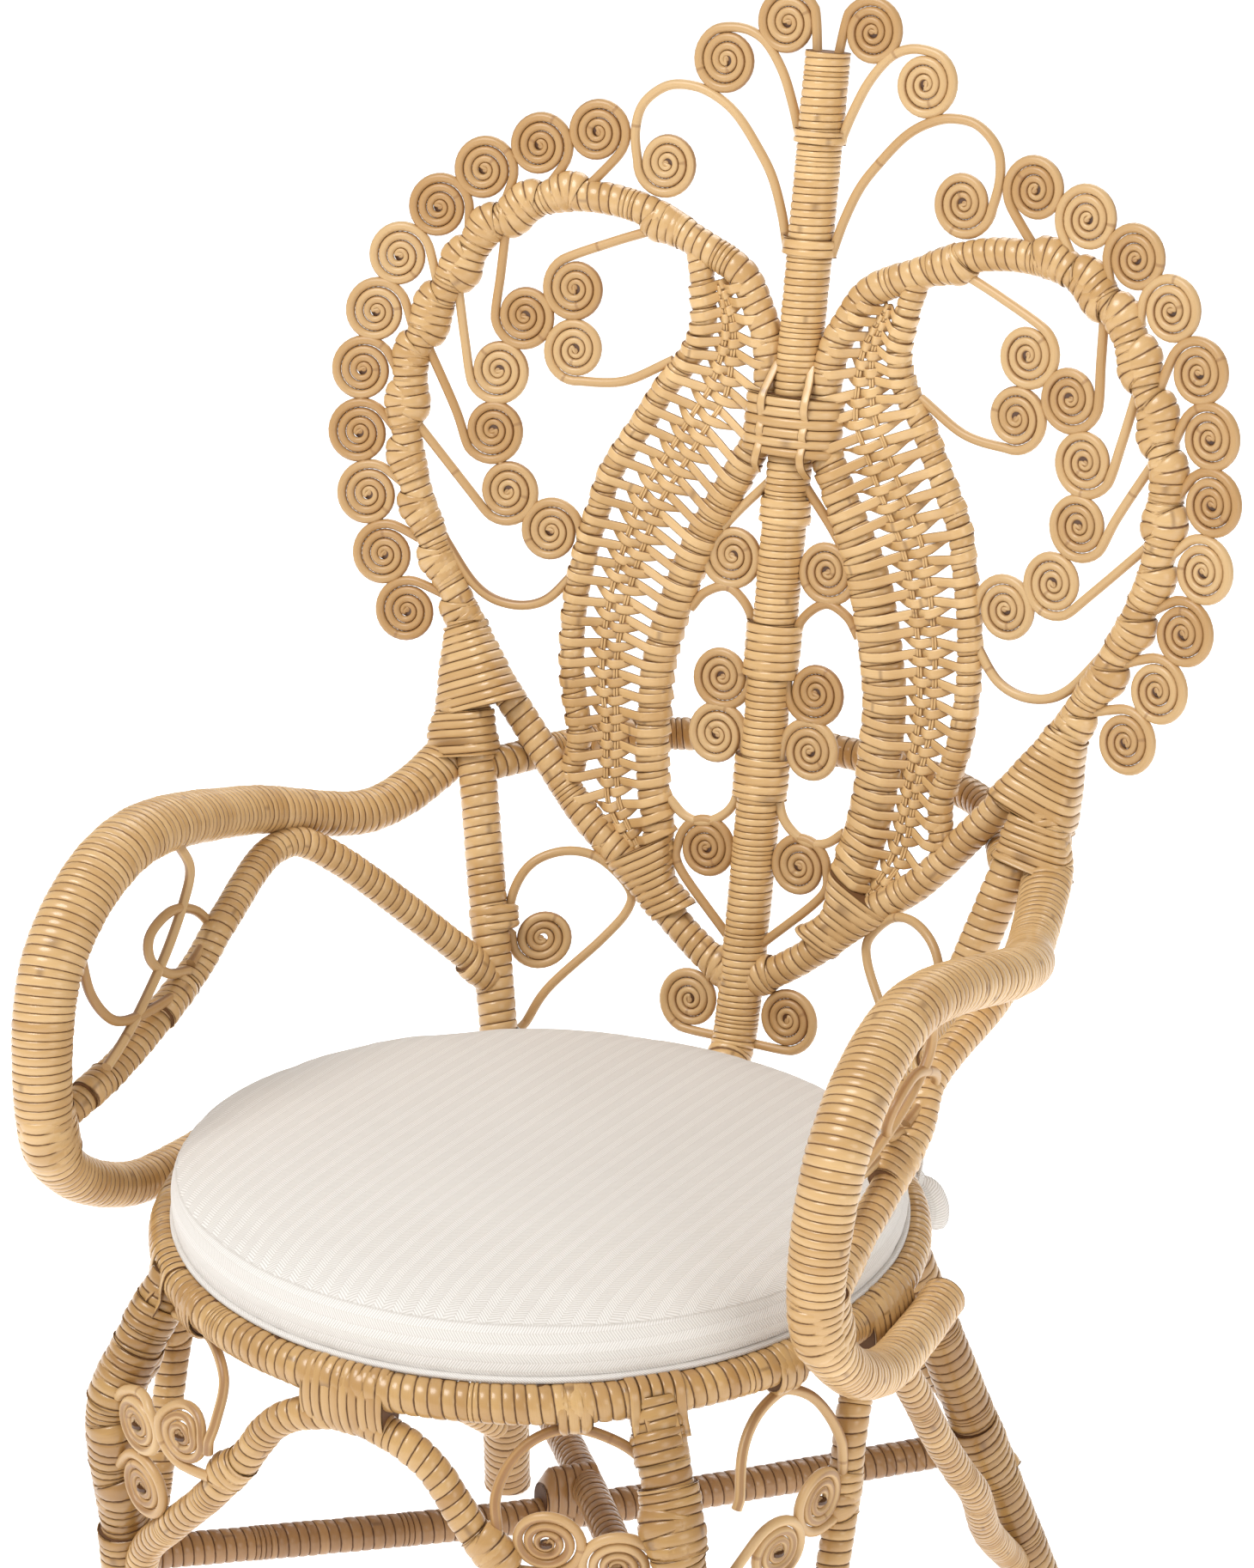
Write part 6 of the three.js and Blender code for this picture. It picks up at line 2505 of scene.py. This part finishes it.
@dataclass
class Cushion:
    """The round seat cushion with its piping."""

    radius: float = 0.25
    side: float = 0.0435
    crown: float = 0.0165
    edge: float = 0.004
    soft_edge: float = 0.011
    bulge: float = 0.002
    clearance: float = 0.0003
    inset: float = 0.0045
    sag: float = 0.003
    columns: int = 144
    voxel: float = 0.0055
    pressure: float = 4.0
    frames: int = 20
    most_swell: float = 0.004
    piping_radius: float = 0.0024
    back_thinning: float = 0.63
    seam_share: float = 0.35
    least_move: float = 1e-9
    rim_places: int = 181
    rim_window: float = TURN / 60
    rim_evening: int = 7

    under_shares = (0, 0.3, 0.6, 0.85, 0.94)
    edge_cut = 0.3
    soft_turns = (15, 35, 55, 75)
    crown_shares = ((0.93, 0.12), (0.85, 0.4), (0.7, 0.7), (0.5, 0.9), (0.25, 0.985), (0, 1))

    def base(self, plan: ChairPlan) -> float:
        """Height of the underside."""
        return plan.seat_height + plan.ring_radius + self.clearance

    def outline(self, plan: ChairPlan) -> np.ndarray:
        """Reach and height from the middle of the underside to the crown.

        Args:
            plan: The chair's plan.

        Returns:
            Reach and height of each place, one a row.
        """
        base, radius = self.base(plan), self.radius - self.inset
        top = base + self.side
        low = base - self.sag
        under = [(share * radius, base) for share in self.under_shares]
        side = [
            (radius - self.edge, low),
            (radius - self.edge * self.edge_cut, low + self.edge * self.edge_cut),
            (radius, low + self.edge),
            (radius + self.bulge, base + self.side / 2),
            (radius, top - self.soft_edge),
        ]
        for turn in map(math.radians, self.soft_turns):
            inwards, down = self.soft_edge * (1 - math.cos(turn)), self.soft_edge * (1 - math.sin(turn))
            side.append((radius - inwards, top - down))
        crown = [(reach * radius, top + rise * self.crown) for reach, rise in self.crown_shares]
        return np.array([*under, *side, *crown])

    def thinned(self, plan: ChairPlan, depth: np.ndarray, height: np.ndarray) -> np.ndarray:
        """Heights of places of the cushion, whose stuffing thins towards the back.

        Args:
            plan: The chair's plan.
            depth: Distance of each place behind the middle.
            height: Its height in a cushion of even thickness.

        Returns:
            Its height.
        """
        base = self.base(plan)
        backness = (depth + self.radius) / (2 * self.radius)
        return base + (height - base) * (1 - self.back_thinning * backness)

    def body(self, shop: Workshop) -> bpy.types.Object:
        """The padded body, swelled by a short simulation of its cloth.

        Args:
            shop: The workshop.

        Returns:
            The body.
        """
        plan = shop.plan
        outline = self.outline(plan)
        turn = TURN * np.arange(self.columns) / self.columns
        ring = outline[1:-1]
        grid = np.stack(
            [ring[:, :1] * np.cos(turn), ring[:, :1] * np.sin(turn), np.repeat(ring[:, 1:], self.columns, axis=1)],
            axis=-1,
        ).reshape(-1, 3)
        places = np.vstack([grid, [0, 0, outline[0, 1]], [0, 0, outline[-1, 1]]])
        places[:, 2] = self.thinned(plan, places[:, 1], places[:, 2])
        places += np.asarray(plan.shift)
        rows = len(ring)
        quads = tube_faces(*grid_cells(rows - 1, self.columns), self.columns)
        hub, last = rows * self.columns, (rows - 1) * self.columns
        rim = [(a, (a + 1) % self.columns) for a in range(self.columns)]
        fans = [(b, a, hub) for a, b in rim] + [(last + a, last + b, hub + 1) for a, b in rim]
        mesh = bpy.data.meshes.new("seat_cushion")
        mesh.from_pydata(places.tolist(), [], quads.tolist() + fans)
        mesh.polygons.foreach_set("use_smooth", np.ones(len(mesh.polygons), bool))
        thing = bpy.data.objects.new("seat_cushion", mesh)
        bpy.context.scene.collection.objects.link(thing)
        self.swell(thing)
        return thing

    def swell(self, thing: bpy.types.Object) -> None:
        """Swells the body as stuffed cloth and keeps it within its room.

        Args:
            thing: The cushion's body.
        """
        remesh = thing.modifiers.new("Remesh", "REMESH")
        remesh.mode = "VOXEL"
        remesh.voxel_size = self.voxel
        self.keep_result(thing)
        before = self.places(thing)
        cloth = thing.modifiers.new("Cloth", "CLOTH")
        cloth.settings.use_pressure = True
        cloth.settings.uniform_pressure_force = self.pressure
        cloth.settings.effector_weights.gravity = 0.0
        scene = bpy.context.scene
        for frame in range(1, self.frames + 1):
            scene.frame_set(frame)
        self.keep_result(thing)
        scene.frame_set(1)
        after = self.places(thing)
        move = after - before
        size = np.linalg.norm(move, axis=1, keepdims=True)
        move *= np.minimum(1.0, self.most_swell / np.maximum(size, self.least_move))
        after = before + move
        middle = before[:, :2].mean(axis=0)
        widths = [float(np.linalg.norm(places[:, :2] - middle, axis=1).max()) for places in (before, after)]
        after[:, :2] = middle + (after[:, :2] - middle) * widths[0] / widths[1]
        after[:, 2] = np.maximum(after[:, 2], before[:, 2].min())
        thing.data.vertices.foreach_set("co", after.astype(np.float32).ravel())
        thing.modifiers.new("Smooth", "SUBSURF").levels = 1
        self.keep_result(thing)

    def keep_result(self, thing: bpy.types.Object) -> None:
        """Applies the object's modifiers to its mesh.

        Args:
            thing: The object.
        """
        seen = thing.evaluated_get(bpy.context.evaluated_depsgraph_get())
        made = bpy.data.meshes.new_from_object(seen)
        thing.modifiers.clear()
        thing.data = made
        made.polygons.foreach_set("use_smooth", np.ones(len(made.polygons), bool))

    def places(self, thing: bpy.types.Object) -> np.ndarray:
        """The places of an object's mesh, one a row.

        Args:
            thing: The object.

        Returns:
            The places.
        """
        found = np.empty(3 * len(thing.data.vertices), np.float32)
        thing.data.vertices.foreach_get("co", found)
        return found.reshape(-1, 3).astype(float)

    def rim(self, thing: bpy.types.Object, plan: ChairPlan, height: float) -> Line:
        """The body's outline at a height of its front, as a closed line.

        Args:
            thing: The cushion's body.
            plan: The chair's plan.
            height: The height.

        Returns:
            The line.
        """
        places = self.places(thing) - np.asarray(plan.shift)
        wanted = self.thinned(plan, places[:, 1], np.full(len(places), height))
        near = places[np.abs(places[:, 2] - wanted) < self.voxel]
        angle = np.arctan2(near[:, 1], near[:, 0])
        reach = np.linalg.norm(near[:, :2], axis=1)
        turns = np.linspace(-math.pi, math.pi, self.rim_places)
        gaps = [np.abs((angle - turn + math.pi) % TURN - math.pi) for turn in turns]
        outs = np.array([reach[gap < self.rim_window].max() for gap in gaps])
        outs[-1] = outs[0]
        side = self.rim_evening // 2
        padded = np.concatenate([outs[-side - 1 : -1], outs, outs[1 : side + 1]])
        outs = np.convolve(padded, np.ones(self.rim_evening) / self.rim_evening, "valid")
        depth = outs * np.sin(turns)
        heights = self.thinned(plan, depth, np.full(len(turns), height))
        return np.column_stack([outs * np.cos(turns), depth, heights])

    def build(self, shop: Workshop) -> None:
        """Makes the cushion and its piping.

        Args:
            shop: The workshop.
        """
        plan = shop.plan
        thing = self.body(shop)
        shop.dress(thing, COTTON, ["cushion"], "cotton", Body.CUSHION)
        height = self.base(plan) - self.sag + self.piping_radius + self.edge / 2
        line = even_line(self.rim(thing, plan, height), 2 * FINE_STEP)
        shape = Shape()
        sweep(shape, line, UPWARDS, steady(self.piping_radius), STRIP_COLUMNS)
        shop.place(shape, "cushion_piping", STRAP, [], "cotton", Body.CUSHION)


@dataclass
class CushionTies:
    """The straps that tie the cushion to the side posts, each with a bow.

    The bow's tables run sideways, outwards and down from the knot. Sideways and down are shares of a loop's length in
    loop_shares, and down is a share of a tail's length in tail_shares. All else is in metres.
    """

    height_share: float = 0.0
    knot_drop: float = 0.034
    strap_half: float = 0.0062
    thickness: float = 0.0011
    knot_radius: float = 0.0075
    knot_sunk_share: float = 0.1
    knot_places: int = 9
    knot_columns: int = 14
    loop_length: float = 0.04
    loop_lean: float = 0.6
    small_loop_share: float = 0.88
    tail_length: float = 0.042
    rim_rise: float = 0.006
    strap_aside: float = 0.004
    strap_rise: float = 0.003

    band_turns = (0, 45, 90, 135, 180, 225, 270, 315, 360)
    band_rises = ((-0.004, 0.0025), (0.005, -0.004))
    hung_shares = (0.8, 0.6, 0.3)
    swell_stops = (0, 0.2, 0.5, 0.8, 1)
    knot_swells = (0.55, 0.95, 0.8, 0.95, 0.55)
    loop_halves = (0.004, 0.0085, 0.009, 0.0085, 0.004)
    loop_start = (0.002, 0, 0)
    loop_shares = (
        (0.24, 0.008, 0.15), (0.42, 0.012, 0.55), (0.4, 0.011, 0.93), (0.25, 0.007, 0.97), (0.14, 0.006, 0.45),
    )  # fmt: skip
    loop_end = (0.002, 0.002, 0.003)
    tail_start = (0.01, 0.004, 0.014)
    tail_shares = ((0.014, 0.003, 0.5), (0.02, 0.001, 1))

    def build(self, shop: Workshop, hand: Hand, cushion: Cushion) -> None:
        """Makes one tie.

        Args:
            shop: The workshop.
            hand: The side.
            cushion: The cushion that it holds.
        """
        plan = shop.plan
        post = plan.side_post_point(hand.value, self.height_share)
        out, on = round_axes(post)
        reach = plan.side_post_radius + 2 * self.thickness
        bow = Shape()
        for rise, lean in self.band_rises:
            band = []
            for a in map(math.radians, self.band_turns):
                along = reach * (out * math.cos(a) + on * math.sin(a))
                band.append(post + along + raised(rise + lean * math.sin(a)))
            self.ribbon(bow, band, UPWARDS)
        front = post + out * reach
        knot = front - out * self.knot_radius * self.knot_sunk_share - raised(self.knot_drop)
        self.add_bow(bow, front, knot, out, on)
        shop.place(bow, f"cushion_bow_{hand.word}", STRAP, [f"cushion_tie_{hand.word}"], "cotton")
        strap = Shape()
        inner = post - out * reach
        rim = out * (cushion.radius - cushion.inset + cushion.bulge)
        rim[2] = cushion.base(plan) + self.rim_rise
        middle = (inner + rim) / 2 + raised(self.strap_rise)
        self.ribbon(strap, [inner - on * self.strap_aside, middle, rim], UPWARDS)
        thing = shop.dress(
            bpy.data.objects.new(f"cushion_strap_{hand.word}", strap.mesh("strap", plan.shift)),
            STRAP,
            [],
            "cotton",
            None,
        )
        shift = np.asarray(plan.shift)
        tuple(inner + shift)
        tuple(rim + shift)
        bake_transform(thing)

    def ribbon(self, shape: Shape, points: Sequence[Place], facing: Place, halves: Halves | None = None) -> None:
        """Adds a flat ribbon.

        Args:
            shape: Takes the faces.
            points: Places that it passes.
            facing: Direction across it.
            halves: Half-widths along it, or the strap's own where left out.
        """
        wide = halves or steady(self.strap_half, self.thickness)
        sweep(shape, smooth_line(points, CANE_STEP), facing, wide, STRIP_COLUMNS, STRIP_SQUARENESS)

    def add_bow(self, shape: Shape, front: np.ndarray, knot: np.ndarray, out: np.ndarray, on: np.ndarray) -> None:
        """Adds the hanging ends, the knot, the loops and the tails.

        Args:
            shape: Takes the faces.
            front: Where the ends leave the post.
            knot: The knot's middle.
            out: Direction away from the seat's middle.
            on: Direction round the seat.
        """
        radius = self.knot_radius

        def spot(sign: int, aside: float, outwards: float, down: float) -> np.ndarray:
            """A place beside the knot.

            Args:
                sign: Side of the knot.
                aside: Distance sideways.
                outwards: Distance outwards.
                down: Distance down.

            Returns:
                The place.
            """
            return knot + on * sign * aside + out * outwards - raised(down)

        for sign in (-1, 1):
            middle = (front + knot) / 2 + out * self.thickness
            asides = (on * sign * radius * share for share in self.hung_shares)
            self.ribbon(shape, [place + aside for place, aside in zip((front, middle, knot), asides)], on)
        ends = np.linspace(knot - on * radius, knot + on * radius, self.knot_places)
        swells = tapered(self.swell_stops, [radius * swell for swell in self.knot_swells])
        sweep(shape, ends, UPWARDS, swells, self.knot_columns)
        thin = (self.thickness,) * len(self.swell_stops)
        wide = tapered(self.swell_stops, self.loop_halves, thin)
        for sign in (-1, 1):
            size = self.loop_length * (1.0 if sign > 0 else self.small_loop_share)
            turns = [spot(sign, size * aside, outwards, size * down) for aside, outwards, down in self.loop_shares]
            loop = [spot(sign, *self.loop_start), *turns, spot(sign, *self.loop_end)]
            self.ribbon(shape, loop, out + raised(self.loop_lean), wide)
            length = self.tail_length
            hung = [spot(sign, aside, outwards, length * down) for aside, outwards, down in self.tail_shares]
            self.ribbon(shape, [knot, spot(sign, *self.tail_start), *hung], on)


# Studio


@dataclass
class Studio:
    """Camera, soft lights and pale floor."""

    camera_place: tuple[float, float, float] = (1.427, -2.585, 1.925)
    plan_height: float = 0.415
    tilt: float = 90 - 21.99
    turn: float = 27.77
    lens: float = 112.64
    sensor: float = 36.0
    floor_size: float = 30.0
    floor_glow: float = 0.62
    sky: float = 0.56

    aim_place = (0, 0, 0.6)
    lights = (
        ("key", (-1.15, -2.05, 4.1), 2.2, 118.0),
        ("fill", (3.2, -1.8, 1.8), 2.0, 26.0),
        ("back", (-0.4, 2.8, 2.9), 2.4, 42.0),
    )

    def build(self, shop: Workshop) -> None:
        """Sets up the camera, the lights, the sky and the floor.

        Args:
            shop: The workshop.
        """
        plan = shop.plan
        scene = bpy.context.scene
        scene.view_settings.view_transform = "Standard"
        data = bpy.data.cameras.new("Camera")
        data.lens = self.lens
        data.sensor_width = self.sensor
        camera = bpy.data.objects.new("Camera", data)
        x, y, z = self.camera_place
        camera.location = (x, y + plan.shift[1], z + plan.seat_height - self.plan_height)
        camera.rotation_euler = (math.radians(self.tilt), 0, math.radians(self.turn))
        scene.collection.objects.link(camera)
        scene.camera = camera
        for name, place, size, power in self.lights:
            lamp = bpy.data.lights.new(name, "AREA")
            lamp.shape = "DISK"
            lamp.size = size
            lamp.energy = power
            light = bpy.data.objects.new(name, lamp)
            light.location = place
            aim = np.array(self.aim_place) - np.array(place)
            light.rotation_euler = (
                math.atan2(math.hypot(aim[0], aim[1]), -aim[2]),
                0,
                math.atan2(aim[1], aim[0]) - math.pi / 2,
            )
            scene.collection.objects.link(light)
        world = bpy.data.worlds.new("Sky")
        world.use_nodes = True
        world.node_tree.nodes["Background"].inputs["Color"].default_value = (1, 1, 1, 1)
        world.node_tree.nodes["Background"].inputs["Strength"].default_value = self.sky
        scene.world = world
        self.floor(shop)

    def floor(self, shop: Workshop) -> None:
        """Makes the pale floor.

        Args:
            shop: The workshop.
        """
        half = self.floor_size / 2
        mesh = bpy.data.meshes.new("floor")
        mesh.from_pydata([(-half, -half, 0), (half, -half, 0), (half, half, 0), (-half, half, 0)], [], [(0, 1, 2, 3)])
        mesh.materials.append(shop.finishes[FLOOR])
        floor = bpy.data.objects.new("floor", mesh)
        bpy.context.scene.collection.objects.link(floor)


def make_finishes(plan: ChairPlan, cushion: Cushion, studio: Studio) -> dict[str, bpy.types.Material]:
    """Makes every material.

    Args:
        plan: The chair's plan.
        cushion: The cushion, whose weave runs round its own middle.
        studio: The studio, for its floor.

    Returns:
        Materials by name.
    """
    seam, dark_seam = (0.135, 0.051, 0.014, 1), (0.085, 0.03, 0.008, 1)
    weave = HerringboneFinish(
        COTTON,
        side_radius=cushion.radius,
        base=cushion.base(plan),
        side_rise=cushion.side - cushion.soft_edge * cushion.seam_share,
        thinning=cushion.back_thinning,
        centre=plan.shift[:2],
    )
    finishes = (
        StripFinish(PALE, (0.76, 0.51, 0.24, 1), (0.55, 0.325, 0.122, 1), seam),
        StripFinish(GOLDEN, (0.68, 0.45, 0.21, 1), (0.49, 0.282, 0.102, 1), seam),
        StripFinish(AMBER, (0.59, 0.37, 0.148, 1), (0.385, 0.205, 0.064, 1), dark_seam),
        # Darker copy of the amber wrap, painted shade for the legs.
        StripFinish(SHADED_TAWNY, (0.48, 0.285, 0.098, 1), (0.305, 0.152, 0.042, 1), dark_seam),
        StripFinish(BROWN, (0.40, 0.215, 0.078, 1), (0.25, 0.118, 0.036, 1), dark_seam),
        CaneFinish(CANE, (0.61, 0.405, 0.193, 1), (0.445, 0.252, 0.095, 1), (0.25, 0.11, 0.035, 1)),
        weave,
        HerringboneFinish(STRAP),
        FloorFinish(FLOOR, studio.floor_glow),
    )
    return {finish.name: finish.material() for finish in finishes}


def ring_shift() -> tuple[float, float, float]:
    """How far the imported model's seat ring stands from the plan's Z axis."""
    low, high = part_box("seat_ring")
    return ((low[0] + high[0]) / 2, (low[1] + high[1]) / 2, 0.0)


def main() -> None:
    """Builds the chair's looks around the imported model."""
    logging.basicConfig(level=logging.INFO, format="%(name)s: %(message)s")
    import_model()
    plan = ChairPlan(shift=ring_shift())
    studio = Studio()
    cushion = Cushion()
    shop = Workshop(plan, make_finishes(plan, cushion, studio), np.random.default_rng(SEED))
    studio.build(shop)
    bays = [Apron().build(shop, hand) for hand in Hand]
    SeatFrame().build(shop, [place for _, tops in bays for place in tops])
    Legs().build(shop, [stem for stems, _ in bays for stem in stems])
    ties = {hand: Scrollwork().build(shop, hand) for hand in Hand}
    BackFrame().build(shop, ties)
    for hand in Hand:
        SideScroll().build(shop, hand)
        ArmCanes().build(shop, hand)
        Arms().build(shop, hand)
        PanelWeave().build(shop, hand)
    cushion.build(shop)
    for hand in Hand:
        CushionTies().build(shop, hand, cushion)


if __name__ == "__main__":
    main()
